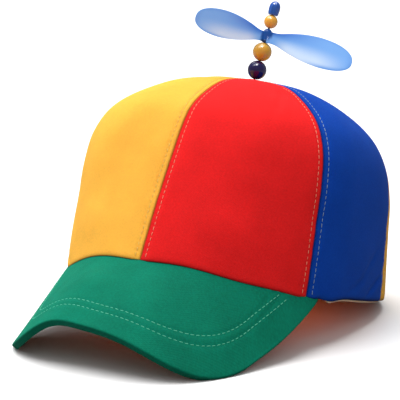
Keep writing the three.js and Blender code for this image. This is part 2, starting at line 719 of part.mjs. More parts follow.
// The surface presses flat what would reach below it
const spread = 2 * (CROWN_FRONT_REACH + CROWN_BACK_REACH + VISOR_REACH + CROWN_HEIGHT);
const above = toManifold(joined(new THREE.BoxGeometry(spread, spread, spread).translate(0, 0, spread / 2)));
for (const piece of pieces) {
  piece.geometry.rotateX(-restTilt).translate(0, 0, -restLevel);
  if (lowestPoint(piece.geometry, 0) < 0) {
    piece.geometry = fromManifold(toManifold(piece.geometry).intersect(above));
  }
}

const beanie = new THREE.Group();
for (const piece of pieces) {
  const mesh = new THREE.Mesh(piece.geometry, new THREE.MeshStandardMaterial(piece.material));
  mesh.name = piece.name;
  beanie.add(mesh);
}
const box = new THREE.Box3().setFromObject(beanie);
const middle = box.getCenter(new THREE.Vector3());
for (const mesh of beanie.children) mesh.geometry.translate(-middle.x, -middle.y, -box.min.z);

export default beanie;
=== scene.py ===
import json
import math

import bpy
import numpy as np
from bpy.props import FloatProperty, FloatVectorProperty, PointerProperty
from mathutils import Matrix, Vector


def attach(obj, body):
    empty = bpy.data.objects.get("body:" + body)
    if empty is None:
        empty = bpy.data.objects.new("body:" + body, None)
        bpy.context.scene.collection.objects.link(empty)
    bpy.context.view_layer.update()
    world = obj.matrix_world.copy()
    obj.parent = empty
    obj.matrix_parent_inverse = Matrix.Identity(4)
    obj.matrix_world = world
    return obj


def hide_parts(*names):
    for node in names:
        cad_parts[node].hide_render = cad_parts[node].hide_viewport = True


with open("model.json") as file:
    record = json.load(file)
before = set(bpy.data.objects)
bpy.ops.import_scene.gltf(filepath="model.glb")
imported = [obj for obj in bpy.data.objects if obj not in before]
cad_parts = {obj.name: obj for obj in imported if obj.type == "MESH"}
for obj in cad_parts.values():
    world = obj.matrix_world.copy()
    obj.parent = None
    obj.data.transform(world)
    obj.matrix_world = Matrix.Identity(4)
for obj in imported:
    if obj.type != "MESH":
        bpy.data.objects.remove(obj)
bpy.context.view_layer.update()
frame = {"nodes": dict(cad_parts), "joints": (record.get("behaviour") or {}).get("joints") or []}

bl_info = {
    "name": "Propeller Beanie Looks",
    "version": (1, 0, 0),
    "blender": (4, 5, 0),
    "location": "View3D > Sidebar > Beanie",
    "description": "Cloth panels, visor, stitching, beads and propeller of a propeller beanie, and its stage",
    "category": "Object",
}

# A millimetre, in metres
MILLIMETRE = 0.001

# Height and reach of the crown's outline as shares of its height and of its rim, from the rim to the apex
CROWN_PROFILE = [
    {"height": 0, "front": 1, "side": 1, "back": 1},
    {"height": 0.17, "front": 0.945, "side": 1.003, "back": 0.95},
    {"height": 0.34, "front": 0.89, "side": 0.998, "back": 0.91},
    {"height": 0.5, "front": 0.828, "side": 0.998, "back": 0.845},
    {"height": 0.65, "front": 0.766, "side": 0.965, "back": 0.745},
    {"height": 0.78, "front": 0.685, "side": 0.86, "back": 0.625},
    {"height": 0.885, "front": 0.522, "side": 0.658, "back": 0.497},
    {"height": 0.96, "front": 0.318, "side": 0.394, "back": 0.325},
    {"height": 1, "front": 0, "side": 0, "back": 0},
]

# Slow waves of the visor's joint and the hem beside it: angle toward the wearer's left, spread and share of
# the height
JOINT_WAVES = [
    {"angle": 0, "spread": 28, "rise": -0.65},
    {"angle": 54, "spread": 15, "rise": 1},
    {"angle": 78, "spread": 11, "rise": -1.3},
    {"angle": -81, "spread": 10, "rise": -0.7},
]

# Soft dents and swells: the angle from the front, the share of the way up, their spreads and their depth
DENTS = [
    {"angle": 50, "up": 0.8, "angle_spread": 9, "up_spread": 0.09, "depth": 1},
    {"angle": 108, "up": 0.1, "angle_spread": 6, "up_spread": 0.12, "depth": 0.65},
    {"angle": -30, "up": 0.14, "angle_spread": 22, "up_spread": 0.07, "depth": -0.55},
    {"angle": 28, "up": 0.16, "angle_spread": 24, "up_spread": 0.07, "depth": -0.55},
]

# Creases of the cloth: their middle, the way they run, their half length, half width and share of the depth
CREASES = [
    {"angle": 112, "up": 0.06, "run": 35, "length": 11, "width": 2.2, "depth": 1},
    {"angle": 106, "up": 0.13, "run": 48, "length": 12, "width": 2.6, "depth": 0.7},
    {"angle": 98, "up": 0.05, "run": 30, "length": 9, "width": 2.4, "depth": 0.6},
    {"angle": -66, "up": 0.05, "run": -40, "length": 9, "width": 2.6, "depth": 0.6},
    {"angle": -56, "up": 0.03, "run": -20, "length": 10, "width": 2.2, "depth": 0.5},
    {"angle": 62, "up": 0.82, "run": 70, "length": 14, "width": 3.5, "depth": 0.7},
    {"angle": 52, "up": 0.74, "run": 62, "length": 16, "width": 4.5, "depth": 0.6},
    {"angle": 150, "up": 0.08, "run": 25, "length": 14, "width": 3, "depth": 0.8},
    {"angle": -140, "up": 0.1, "run": -30, "length": 14, "width": 3, "depth": 0.8},
    {"angle": -96, "up": 0.09, "run": -35, "length": 12, "width": 2.8, "depth": 0.7},
]

# Panels, their seams as side and back seam angles, and the slot of their cloth
PANELS = [
    {"node": "front_left_panel", "seams": (0, 1), "slot": "red_cloth"},
    {"node": "side_left_panel", "seams": (1, 2), "slot": "blue_cloth"},
    {"node": "back_left_panel", "seams": (2, 3), "slot": "yellow_cloth"},
    {"node": "back_right_panel", "seams": (3, 4), "slot": "red_cloth"},
    {"node": "side_right_panel", "seams": (4, 5), "slot": "blue_cloth"},
    {"node": "front_right_panel", "seams": (5, 6), "slot": "yellow_cloth"},
]

# Outline of a blade: place along it, share of its width, and pitch in degrees
BLADE_OUTLINE = [
    {"along": 0, "width": 0.34, "pitch": 64},
    {"along": 0.12, "width": 0.37, "pitch": 62},
    {"along": 0.28, "width": 0.65, "pitch": 58},
    {"along": 0.44, "width": 0.88, "pitch": 55},
    {"along": 0.62, "width": 1, "pitch": 53},
    {"along": 0.78, "width": 0.95, "pitch": 52},
    {"along": 0.89, "width": 0.78, "pitch": 51},
    {"along": 0.96, "width": 0.52, "pitch": 50},
    {"along": 1, "width": 0.18, "pitch": 50},
]

# Outline of the hub as shares of its height and of its collar's radius
HUB_PROFILE = [
    {"up": 0, "radius": 0.72},
    {"up": 0.04, "radius": 0.86},
    {"up": 0.13, "radius": 0.86},
    {"up": 0.18, "radius": 0.6},
    {"up": 0.38, "radius": 0.66},
    {"up": 0.58, "radius": 0.86},
    {"up": 0.73, "radius": 0.95},
    {"up": 0.87, "radius": 0.82},
    {"up": 0.96, "radius": 0.58},
    {"up": 1, "radius": 0.38},
]

# Outline of the end bead as shares of its height and radius
TOP_BEAD_PROFILE = [
    {"up": 0, "radius": 0.78},
    {"up": 0.05, "radius": 0.9},
    {"up": 0.3, "radius": 0.99},
    {"up": 0.58, "radius": 1},
    {"up": 0.8, "radius": 0.83},
    {"up": 0.94, "radius": 0.5},
    {"up": 1, "radius": 0.12},
]


def length(label, words, metres):
    """A length of the object, in metres."""
    return FloatProperty(name=label, description=words, default=metres, unit="LENGTH", precision=5)


def angle(label, words, degrees):
    """An angle of the object, given in degrees and kept in radians."""
    return FloatProperty(name=label, description=words, default=math.radians(degrees), subtype="ANGLE")


def factor(label, words, value):
    """A plain number."""
    return FloatProperty(name=label, description=words, default=value)


def colour(label, words, value):
    """A linear colour."""
    return FloatVectorProperty(name=label, description=words, default=value, size=3, subtype="COLOR",
                               min=0, max=1)


class CrownSizes(bpy.types.PropertyGroup):
    """Sizes of the crown's cloth"""

    half_width: length("Half width", "Half of the rim's width", 0.0865)
    front_reach: length("Front reach", "From the widest line to the front of the rim", 0.078)
    back_reach: length("Back reach", "From the widest line to the back of the rim", 0.1205)
    apex_setback: length("Apex setback", "How far the apex lies behind the widest line", 0.02)
    height: length("Height", "From the rim plane to the apex", 0.1205)
    front_power: factor("Front roundness", "Power of the rim's front curve", 1.8)
    back_power: factor("Back roundness", "Power of the rim's back curve", 2.75)
    front_blend: factor("Front blend", "Power that spreads the front outline round the crown", 4)
    back_blend: factor("Back blend", "Power that spreads the back outline round the crown", 2)
    hem_rise: length("Hem rise", "How much the hem rises at the back", 0.009)
    hem_rise_start: angle("Hem rise start", "Angle from the front where the hem starts to rise", 90)
    hem_fade: angle("Hem fade", "Angle over which the hem leaves the visor", 10)
    joint_wave: length("Joint wave", "Height of the slow waves of the joint between crown and visor", 0.0028)
    joint_wave_fade: factor("Joint wave fade", "Share of the rim's reach over which they fade", 0.3)
    wall: length("Cloth wall", "Thickness of the backed cloth", 0.002)
    gap: length("Gap", "Clearance between pieces that touch", 0.0003)
    side_seam: angle("Side seam", "Angle of the side seam from the front", 69)
    back_seam: angle("Back seam", "Angle of the back side seam from the front", 120)
    seam_dip: length("Seam dip", "How far the cloth dips at a seam", 0.0007)
    seam_dip_width: length("Seam dip width", "Distance over which the dip fades", 0.0035)
    seam_roll: length("Seam roll", "Radius of the cloth's turn into a seam", 0.0009)
    hem_roll: length("Hem roll", "Radius of the cloth's turn into the hem", 0.0009)
    dent_depth: length("Dent depth", "Depth of the deepest soft dent", 0.0014)
    crease_depth: length("Crease depth", "Depth of the deepest crease", 0.0011)
    tuck_depth: length("Tuck depth", "How far the cloth turns in above the hem", 0.0005)
    tuck_reach: length("Tuck reach", "Height over which it turns in", 0.0045)
    # Painted shade: how far the darkening painted by the hem and the seams reaches
    painted_shade_reach: length("Shade reach", "How far the dark of the sewn edges reaches", 0.0015)
    pucker_depth: length("Pucker depth", "Height of the small puckers beside a seam", 0.00016)


class VisorSizes(bpy.types.PropertyGroup):
    """Sizes of the visor"""

    reach: length("Reach", "From the front of the rim to the front of the visor, in plan", 0.045)
    half_width: length("Half width", "Half of the visor's width in plan", 0.0785)
    end_angle: angle("End angle", "Angle from the front where the visor ends", 75)
    centre_rise: length("Centre rise", "Height of the joint at the front above the rim plane", 0.0052)
    slope: factor("Slope", "How steeply the visor falls forward", 0.89)
    bend_power: factor("Bend power", "Power of the visor's arch", 2.3)
    bend_spread: factor("Bend spread", "How much the arch deepens forward, for each millimetre", 0.0048)
    swell: length("Swell", "Height of the swell of the visor's front", 0.0035)
    swell_place: factor("Swell place", "Its place as a share of the half width", -0.3)
    swell_spread: factor("Swell spread", "Its spread as a share of the half width", 0.25)
    corner_power: factor("Corner power", "Power of the visor's outline", 2.6)
    thickness: length("Thickness", "Thickness of the board with its cloth", 0.0036)
    end_thickness: length("End thickness", "Thickness at the visor's ends", 0.002)
    draw_in: factor("Draw in", "Share of the outline that is drawn in to the ends", 0.25)
    thinning: factor("Thinning", "Share of the outline over which the visor thins", 0.2)
    stitch_side_inset: length("Stitch side inset", "Outer stitch row to the visor's side edge", 0.008)
    stitch_front_inset: length("Stitch front inset", "Outer stitch row to the visor's front edge", 0.0098)
    stitch_side_gap: length("Stitch side gap", "Distance between the stitch rows at the sides", 0.0026)
    stitch_front_gap: length("Stitch front gap", "Distance between the stitch rows in front", 0.0038)
    cover: length("Cover", "How much the visor's cloth adds under its board", 0.0009)
    edge_rounding: length("Edge rounding", "How far the visor's faces turn before its edge", 0.0009)


class TrimSizes(bpy.types.PropertyGroup):
    """Sizes of the sweatband and the thread"""

    band_height: length("Band height", "Height of the sweatband inside the crown", 0.03)
    band_thickness: length("Band thickness", "Thickness of the sweatband", 0.0014)
    band_peek: length("Band peek", "How far the sweatband shows under the hem at the sides", 0.0011)
    band_wave: length("Band wave", "Height of the waves along the sweatband's edge", 0.0002)
    seam_to_stitch: length("Seam to stitch", "From a seam to its row of topstitching", 0.0033)
    stitch_length: length("Stitch length", "Length of one stitch", 0.0022)
    stitch_pitch: length("Stitch pitch", "From one stitch to the next", 0.0031)
    thread_radius: length("Thread radius", "Half thickness of the thread", 0.00021)


class StemSizes(bpy.types.PropertyGroup):
    """Sizes of the stem, the beads and the propeller"""

    lean_back: angle("Lean back", "How far the stem leans back", 2)
    lean_side: angle("Lean side", "How far the stem leans to the wearer's left", 7.7)
    stem_radius: length("Stem radius", "Radius of the wire", 0.0006)
    large_bead: length("Large bead radius", "Radius of the two lower beads", 0.0054)
    small_bead: length("Small bead radius", "Radius of the upper bead", 0.0037)
    hub_height: length("Hub height", "Height of the propeller's hub", 0.0082)
    hub_play: length("Hub play", "Room above the hub", 0.0008)
    collar_radius: length("Collar radius", "Radius of the hub's collar", 0.0027)
    top_height: length("End bead height", "Height of the end bead", 0.0084)
    top_radius: length("End bead radius", "Radius of the end bead over its corners", 0.0034)
    top_bore_depth: length("End bead bore depth", "Depth of the end bead's bore", 0.005)
    left_length: length("Left blade length", "Length of the longer blade", 0.053)
    left_width: length("Left blade width", "Width of the longer blade", 0.0235)
    right_length: length("Right blade length", "Length of the shorter blade", 0.0435)
    right_width: length("Right blade width", "Width of the shorter blade", 0.019)
    blade_thickness: length("Blade thickness", "Thickness of the blades", 0.0013)
    root_offset: length("Root offset", "How far a blade's root lies beside the stem", 0.0017)
    root_run: factor("Root run", "Share of the blade over which that offset fades", 0.25)
    blade_lift: factor("Blade lift", "Height of the blades as a share of the hub's", 0.42)
    heading: angle("Heading", "Direction of the longer blade at rest", 37)


class ClothColours(bpy.types.PropertyGroup):
    """Colours of the cloths and threads"""

    red_cloth: colour("Red cloth", "Front left and back right panels", (0.80, 0.016, 0.017))
    blue_cloth: colour("Blue cloth", "Side panels", (0.004, 0.055, 0.38))
    yellow_cloth: colour("Yellow cloth", "Front right and back left panels", (0.94, 0.45, 0.06))
    green_cloth: colour("Green cloth", "Visor", (0.002, 0.163, 0.097))
    peach_cloth: colour("Peach cloth", "Sweatband", (0.86, 0.62, 0.44))
    red_thread: colour("Red panels' thread", "Thread on the red cloth", (0.80, 0.27, 0.16))
    blue_thread: colour("Blue panels' thread", "Thread on the blue cloth", (0.22, 0.32, 0.42))
    yellow_thread: colour("Yellow panels' thread", "Thread on the yellow cloth", (0.82, 0.50, 0.10))
    green_thread: colour("Visor's thread", "Thread on the green cloth", (0.07, 0.48, 0.30))
    sheen: factor("Sheen", "Strength of the nap's sheen", 0.015)


class PlasticColours(bpy.types.PropertyGroup):
    """Colours of the beads and the propeller"""

    navy: colour("Navy bead", "Lower bead on the crown", (0.012, 0.008, 0.085))
    # Painted shade: a darker copy of the yellow plastic for the lower bead
    shaded_yellow: colour("Large yellow bead", "Bead under the propeller", (0.72, 0.38, 0.035))
    amber: colour("Small yellow bead", "Bead above the propeller", (0.93, 0.45, 0.05))
    blue: colour("Blue bead", "Faceted end bead", (0.015, 0.10, 0.45))
    blade: colour("Blade", "Middle of the blades", (0.19, 0.43, 0.90))
    deep: colour("Deep blade", "Upper edges by the roots", (0.045, 0.19, 0.68))
    hub: colour("Hub", "Hub of the propeller", (0.008, 0.075, 0.33))
    # Painted shade: a near-black navy over the hub's foot, for the shade under its collar
    collar: colour("Collar", "Foot of the hub", (0.004, 0.02, 0.07))
    pale: colour("Pale blade", "Lower parts of the blades", (0.62, 0.77, 1.0))
    opacity: factor("Opacity", "Share of the blades' colour that reflects", 0.36)
    # Painted glow: strength of the blades' emission, which stands in for the light that comes through them
    glow: factor("Glow", "Light that comes through the blades", 0.62)


class StageLook(bpy.types.PropertyGroup):
    """Camera, floor and light"""

    azimuth: angle("Azimuth", "Camera's turn round the cap, from straight ahead", 31.09)
    elevation: angle("Elevation", "Camera's angle above the horizon", 11.19)
    distance: length("Distance", "Camera to the point it looks at", 1.1638)
    target: FloatVectorProperty(name="Target", description="The point that the camera looks at",
                                default=(-0.00538, 0.0036, 0.07129), unit="LENGTH", precision=5)
    lens: factor("Lens", "Focal length in millimetres on a 36 mm sensor", 182.9)
    floor: colour("Floor", "Pale floor", (0.96, 0.96, 0.96))
    floor_glow: colour("Floor glow", "What the floor gives back to the cap", (0.3, 0.29, 0.28))
    sky: factor("Sky", "Strength of the light from all round", 0.26)
    key: factor("Key", "Strength of the broad light above", 4.1)
    key_turn: angle("Key turn", "The broad light's turn to the left of the camera", 125)
    key_height: angle("Key height", "The broad light's angle above the horizon", 74)
    key_spread: angle("Key spread", "Angle across the broad light, which softens its shadow", 62)
    fill: factor("Fill", "Power of the light above the camera, a little to its right", 2.7)
    side: factor("Side", "Power of the low light on the left", 2.3)
    side_turn: angle("Side turn", "The low light's turn to the left of the camera", 112)
    spark: factor("Spark", "Power of the small light above, which the beads show", 1.2)
    glow: factor("Glow", "Power of the light that the cloth lets through into the crown", 0.013)


SETTINGS = {
    "beanie_crown": CrownSizes,
    "beanie_visor": VisorSizes,
    "beanie_trim": TrimSizes,
    "beanie_stem": StemSizes,
    "beanie_cloth": ClothColours,
    "beanie_plastic": PlasticColours,
    "beanie_stage": StageLook,
}


def setting(name):
    """One of the scene's groups of sizes or colours."""
    return getattr(bpy.context.scene, "beanie_" + name)


# Small steps for slopes
ANGLE_STEP = math.radians(0.5)
SHARE_STEP = 0.005
LENGTH_STEP = 0.1 * MILLIMETRE

# Fine relief of the cloth: widths and depths, and the shares of the crown where it fades
GROOVE_WIDTH = 0.9 * MILLIMETRE
PUCKER_REACH = 5.5 * MILLIMETRE
DRIFT_DEPTH = 0.4 * MILLIMETRE
TOP_SHARE = 0.07
LOW_SHARE = 0.06
SEAM_GAP = 0.1 * MILLIMETRE
BOARD_UNEVENNESS = 0.18 * MILLIMETRE
STITCH_GROOVE = 0.34 * MILLIMETRE
STITCH_SWELL = 0.16 * MILLIMETRE
STITCH_SWELL_WIDTH = 3 * MILLIMETRE
UNDER_SHARE = 0.5

# A stitch: its rows and sides, the power of its outline, its flatness, and how it arches, varies and sinks
STITCH_ROWS = 9
STITCH_SIDES = 8
STITCH_POWER = 0.6
STITCH_FLATNESS = 0.85
STITCH_ARCH = 0.9
STITCH_SINK = 0.75
STITCH_STRETCH = (0.86, 1.12)
STITCH_SKEW = 0.09

# Where the rows of stitches run: shares of a seam and of the visor's outline, and the rim level they clear
SEAM_STITCHES = (0.016, 0.972)
VISOR_STITCHES = 0.97
CLEAR_OF_RIM = 1.012

# How much longer the way up the crown's face is than its height, and how high a crease's ridges are
CLIMB_FACTOR = 1.25
CREASE_RIDGE = 0.9

# The stage: the camera's sensor in millimetres, half the floor, and the places, sizes and colour of lights
SENSOR_WIDTH = 36
FLOOR_HALF = 6.0
FILL_RIGHT = 0.25
FILL_RISE = 0.45
FILL_SIZE = 0.9
SIDE_RISE = 0.2
SIDE_SIZE = 0.4
SPARK_RISE = 0.6
SPARK_BACK = 0.1
SPARK_SIZE = 0.12
GLOW_PLACE = (0.02, 0.035, 0.06)
GLOW_SIZE = 0.07
GLOW_COLOUR = (1, 0.14, 0.015)

# The end bead: its corners, the sides of the mesh at each, and how flat its sides are
BEAD_CORNERS = 8
SIDES_BY_CORNER = 12
FACET_SHARE = 0.85

# The blades: powers of the tip, the chord and the face, the share of the width under which they thin, and
# how far the hub's colour blends into them
TIP_POWER = 2.4
CHORD_POWER = 0.9
FACE_POWER = 0.75
THIN_WIDTH = 0.3
HUB_BLEND = 1.2 * MILLIMETRE

# Fineness of the meshes
PANEL_COLUMNS = 66
PANEL_ROWS = 236
HEM_ROWS = 20
HEM_SHARE = 0.04
EDGE_CROWDING = 0.86
VISOR_COLUMNS = 240
VISOR_ROWS = 56
EDGE_ROWS = 9
BAND_COLUMNS = 360
BAND_ROWS = 22
ROUND_SIDES = 64
ROUND_ROWS = 40
BLADE_STATIONS = 72
BLADE_SIDES = 44
PATH_POINTS = 700


def smooth(t):
    """Smooth step: 3 t^2 - 2 t^3, with t held between 0 and 1."""
    t = np.clip(t, 0, 1)
    return t * t * (3 - 2 * t)


def table_value(table, column, place):
    """A table's column at a place counted in rows: the cubic through the two rows beside the place, whose
    slope at each row is half the difference of that row's neighbours."""
    values = np.array([row[column] for row in table], float)
    before_first = 2 * values[0] - values[1]
    after_last = 2 * values[-1] - values[-2]
    values = np.concatenate([[before_first], values, [after_last]])
    row = np.clip(np.floor(place).astype(int), 0, len(table) - 2)
    t = place - row
    start = values[row + 1]
    end = values[row + 2]
    start_slope = (end - values[row]) / 2
    end_slope = (values[row + 3] - start) / 2
    bend = 2 * start - 2 * end + start_slope + end_slope
    lift = -3 * start + 3 * end - 2 * start_slope - end_slope
    return ((bend * t + lift) * t + start_slope) * t + start


def waves(seed, across, up, longest, shortest, count=7):
    """Smooth noise between about -1 and 1: a mean of sine waves that run in seeded directions, with wave
    lengths between the longest and the shortest."""
    draw = np.random.default_rng(seed)
    total = 0
    for wave_length in np.geomspace(longest, shortest, count):
        heading, phase = draw.uniform(0, 2 * math.pi, 2)
        run = across * math.cos(heading) + up * math.sin(heading)
        total = total + np.sin(2 * math.pi * run / wave_length + phase)
    return total * 1.4 / count


def unit(vectors):
    """Vectors divided by their lengths."""
    return vectors / np.maximum(np.linalg.norm(vectors, axis=-1, keepdims=True), 1e-12)


def bell(value, width=1):
    """A bell: e to the power of minus the square of the value over its width."""
    return np.exp(-((value / width) ** 2))


def signed(turn):
    """An angle between minus and plus half a turn."""
    return (turn + math.pi) % (2 * math.pi) - math.pi


def signed_power(value, power):
    """A power of a value's size, with the value's sign."""
    return np.sign(value) * np.abs(value) ** power


def rim_point(turn):
    """Rim in plan: a superellipse of the crown's half width and reach, one power in front and one behind."""
    crown = setting("crown")
    across = np.sin(turn)
    ahead = np.cos(turn)
    power = np.where(ahead > 0, crown.front_power, crown.back_power)
    reach = np.where(ahead > 0, crown.front_reach, crown.back_reach)
    spread = (np.abs(across) ** power + np.abs(ahead) ** power) ** (-1 / power)
    return crown.half_width * across * spread, -reach * ahead * spread


def rim_level(x, y):
    """Level of the rim's front superellipse: below one inside the rim, and above one outside it."""
    crown = setting("crown")
    across = (np.abs(x) / crown.half_width) ** crown.front_power
    return across + (np.maximum(-y, 0) / crown.front_reach) ** crown.front_power


def visor_end(step=0.0):
    """The rim's point in plan where the visor ends, or a step of angle further back."""
    return rim_point(np.float64(setting("visor").end_angle + step))


def arch_height(x, y):
    """Height of the visor's plain arch: a forward slope less an arch that is a power of the distance from the
    middle line and grows forward, and that reaches the rim plane at the visor's ends."""
    crown = setting("crown")
    visor = setting("visor")
    end_x, end_y = visor_end()
    end_rise = visor.centre_rise + visor.slope * (end_y + crown.front_reach)
    camber = end_rise / (end_x / visor.half_width) ** visor.bend_power
    rise = visor.centre_rise + visor.slope * (y + crown.front_reach)
    bend = (np.abs(x) / visor.half_width) ** visor.bend_power
    return rise - camber * bend * (1 - visor.bend_spread / MILLIMETRE * (y - end_y))


def joint_wave(x, y):
    """Rise of the joint's waves: a sum of bells in the angle toward the wearer's left."""
    crown = setting("crown")
    turn = np.degrees(np.arctan2(x / crown.half_width, -y / crown.front_reach))
    rise = sum(wave["rise"] * bell(turn - wave["angle"], wave["spread"]) for wave in JOINT_WAVES)
    return rise * crown.joint_wave


def visor_height(x, y):
    """Height of the visor's top face: the arch with the joint's waves, which fade with the distance beyond
    the rim, measured as the rim's superellipse level less one, as a bell across the front grows."""
    crown = setting("crown")
    visor = setting("visor")
    beyond = rim_level(x, y) ** (1 / crown.front_power) - 1
    forward = smooth(beyond / crown.joint_wave_fade)
    swell = visor.swell * bell(x / visor.half_width - visor.swell_place, visor.swell_spread)
    return arch_height(x, y) + joint_wave(x, y) * (1 - forward) + swell * forward


def hem_height(x, y, turn):
    """Height of the crown's lower edge: the visor's face plus the sewn clearance in front, then a fade to the
    rim plane, and a smooth rise toward the back."""
    crown = setting("crown")
    visor = setting("visor")
    clearance = crown.gap * math.hypot(1, visor.slope)
    away = np.abs(signed(turn))
    rising = crown.hem_rise * smooth((away - crown.hem_rise_start) / (math.pi - crown.hem_rise_start))
    leaving = smooth((away - visor.end_angle) / crown.hem_fade)
    end_x, end_y = visor_end()
    after_x, after_y = visor_end(ANGLE_STEP)
    before_x, before_y = visor_end(-ANGLE_STEP)
    inward = unit(np.array([before_y - after_y, after_x - before_x]))
    rim_x, rim_y = rim_point(turn)
    inside = np.hypot(x - rim_x, y - rim_y)
    seat = arch_height(end_x + inward[0] * inside, end_y + inward[1] * inside)
    behind = (seat + clearance) * (1 - leaving) + rising + joint_wave(x, y)
    return np.where(away <= visor.end_angle, visor_height(x, y) + clearance, behind)


def bore_radius():
    """Radius of the bores that the wire runs through."""
    return setting("stem").stem_radius + setting("crown").gap


def apex_point():
    """The crown's apex in the cap's own frame."""
    crown = setting("crown")
    return np.array([0, crown.apex_setback, crown.height])


def stem_lean():
    """The stem's direction in the cap's own frame, before it is made a unit."""
    stem = setting("stem")
    return np.array([math.tan(stem.lean_side), math.tan(stem.lean_back), 1.0])


def crown_face(turn, share):
    """The crown's outer face at an angle and at a share of the way up. Its outline in plan is the rim scaled
    toward the apex by a mean of the side's and the front's or back's column of the table, weighted by a power
    of the angle's cosine, and its height is the table's share of the way from the hem to the apex."""
    crown = setting("crown")
    turn, share = np.broadcast_arrays(turn, share)
    place = share * (len(CROWN_PROFILE) - 1)
    ahead = np.cos(turn)
    keys = ("height", "side", "front", "back")
    up, side, front, back = (table_value(CROWN_PROFILE, key, place) for key in keys)
    end = np.where(ahead > 0, front, back)
    blend = np.abs(ahead) ** np.where(ahead > 0, crown.front_blend, crown.back_blend)
    reach = side + (end - side) * blend
    rim_x, rim_y = rim_point(turn)
    lean = stem_lean()
    hole = bore_radius() + crown.wall * math.hypot(lean[0], lean[1])
    hole_share = hole / np.hypot(rim_x, rim_y - crown.apex_setback)
    out = hole_share + (1 - hole_share) * reach
    rim_z = hem_height(rim_x, rim_y, turn)
    x = rim_x * out
    y = crown.apex_setback + (rim_y - crown.apex_setback) * out
    return np.stack([x, y, rim_z + (crown.height - rim_z) * up], axis=-1)


def crown_normal(turn, share):
    """Outward direction: the cross product of the face's slopes round and up."""
    low = np.maximum(share - SHARE_STEP, 0)
    high = np.minimum(share + SHARE_STEP, 1)
    around = crown_face(turn + ANGLE_STEP, share) - crown_face(turn - ANGLE_STEP, share)
    up = crown_face(turn, high) - crown_face(turn, low)
    return unit(np.cross(around, up))


def turn_for_distance(seam, share, distance):
    """Turn from a seam that keeps a distance to it all the way up."""
    here = crown_face(seam, share)
    along = unit(here[..., :2] - np.array([0, setting("crown").apex_setback]))
    ahead = (crown_face(seam + ANGLE_STEP, share) - crown_face(seam - ANGLE_STEP, share))[..., :2]
    sideways = np.abs(along[..., 0] * ahead[..., 1] - along[..., 1] * ahead[..., 0]) / (2 * ANGLE_STEP)
    return distance / sideways


def soft_depth(turn, share):
    """Sum of the soft dents, each a bell in angle and in share."""
    degrees = np.degrees(signed(turn))
    depth = 0
    for dent in DENTS:
        across = bell(degrees - dent["angle"], dent["angle_spread"])
        depth = depth + dent["depth"] * across * bell(share - dent["up"], dent["up_spread"])
    return depth * setting("crown").dent_depth


def crease_depth(turn, share):
    """Sum of the creases. Each is a long bell in the crown's face: a trough along its run with a low ridge on
    each side, worked out from the distance along and across it."""
    crown = setting("crown")
    depth = 0
    for crease in CREASES:
        across = (signed(turn) - math.radians(crease["angle"])) * crown.half_width / MILLIMETRE
        up = (share - crease["up"]) * crown.height * CLIMB_FACTOR / MILLIMETRE
        run = math.radians(crease["run"])
        along = (across * math.cos(run) + up * math.sin(run)) / crease["length"]
        beside = (up * math.cos(run) - across * math.sin(run)) / crease["width"]
        depth = depth + crease["depth"] * (1 - CREASE_RIDGE * beside**2) * bell(along) * bell(beside)
    return depth * crown.crease_depth


def roll(distance, radius):
    """Depth of a quarter round at an edge: radius less the root of radius squared less the rest squared."""
    rest = np.clip(radius - distance, 0, radius)
    return radius - np.sqrt(np.maximum(radius**2 - rest**2, 0))


def cloth_depth(turn, share, distance, up):
    """Depth of the panel's cloth below the smooth crown: the dip at the seam, the dents and the creases, a
    groove under the topstitching that deepens at each stitch, and small puckers that fade from the seam."""
    crown = setting("crown")
    trim = setting("trim")
    dip = crown.seam_dip * bell(distance, crown.seam_dip_width) * (1 - share**8)
    beat = 0.75 + 0.25 * np.cos(2 * math.pi * up / trim.stitch_pitch)
    groove = crown.pucker_depth * 1.5 * bell(distance - trim.seam_to_stitch, GROOVE_WIDTH) * beat
    near = bell(distance, PUCKER_REACH)
    pucker = crown.pucker_depth * near * waves(5, distance * 0.4, up, 0.011, 0.005)
    drift = DRIFT_DEPTH * waves(8, turn * crown.half_width, up, 0.09, 0.04, 5) * (1 - near)
    top_fade = 1 - smooth((share - (1 - TOP_SHARE)) / TOP_SHARE)
    fine = (groove + pucker + drift * smooth(share / LOW_SHARE)) * top_fade
    return dip + soft_depth(turn, share) + crease_depth(turn, share) * top_fade + fine


def seam_angles():
    """Angles of the seven seam lines, from the front round to the front again."""
    crown = setting("crown")
    left = [0, crown.side_seam, crown.back_seam, math.pi]
    return left + [2 * math.pi - seam for seam in left[-2::-1]]


def climb(turn, share):
    """Length along the crown's face from the hem, for a column of shares."""
    face = crown_face(turn, share)
    steps = np.linalg.norm(np.diff(face, axis=0), axis=-1)
    return np.concatenate([np.zeros((1,) + steps.shape[1:]), np.cumsum(steps, axis=0)])


def set_on_hem(points, turn):
    """Points of the cloth, lifted to the hem where they would hang below it."""
    points[..., 2] = np.maximum(points[..., 2], hem_height(points[..., 0], points[..., 1], turn))
    return points


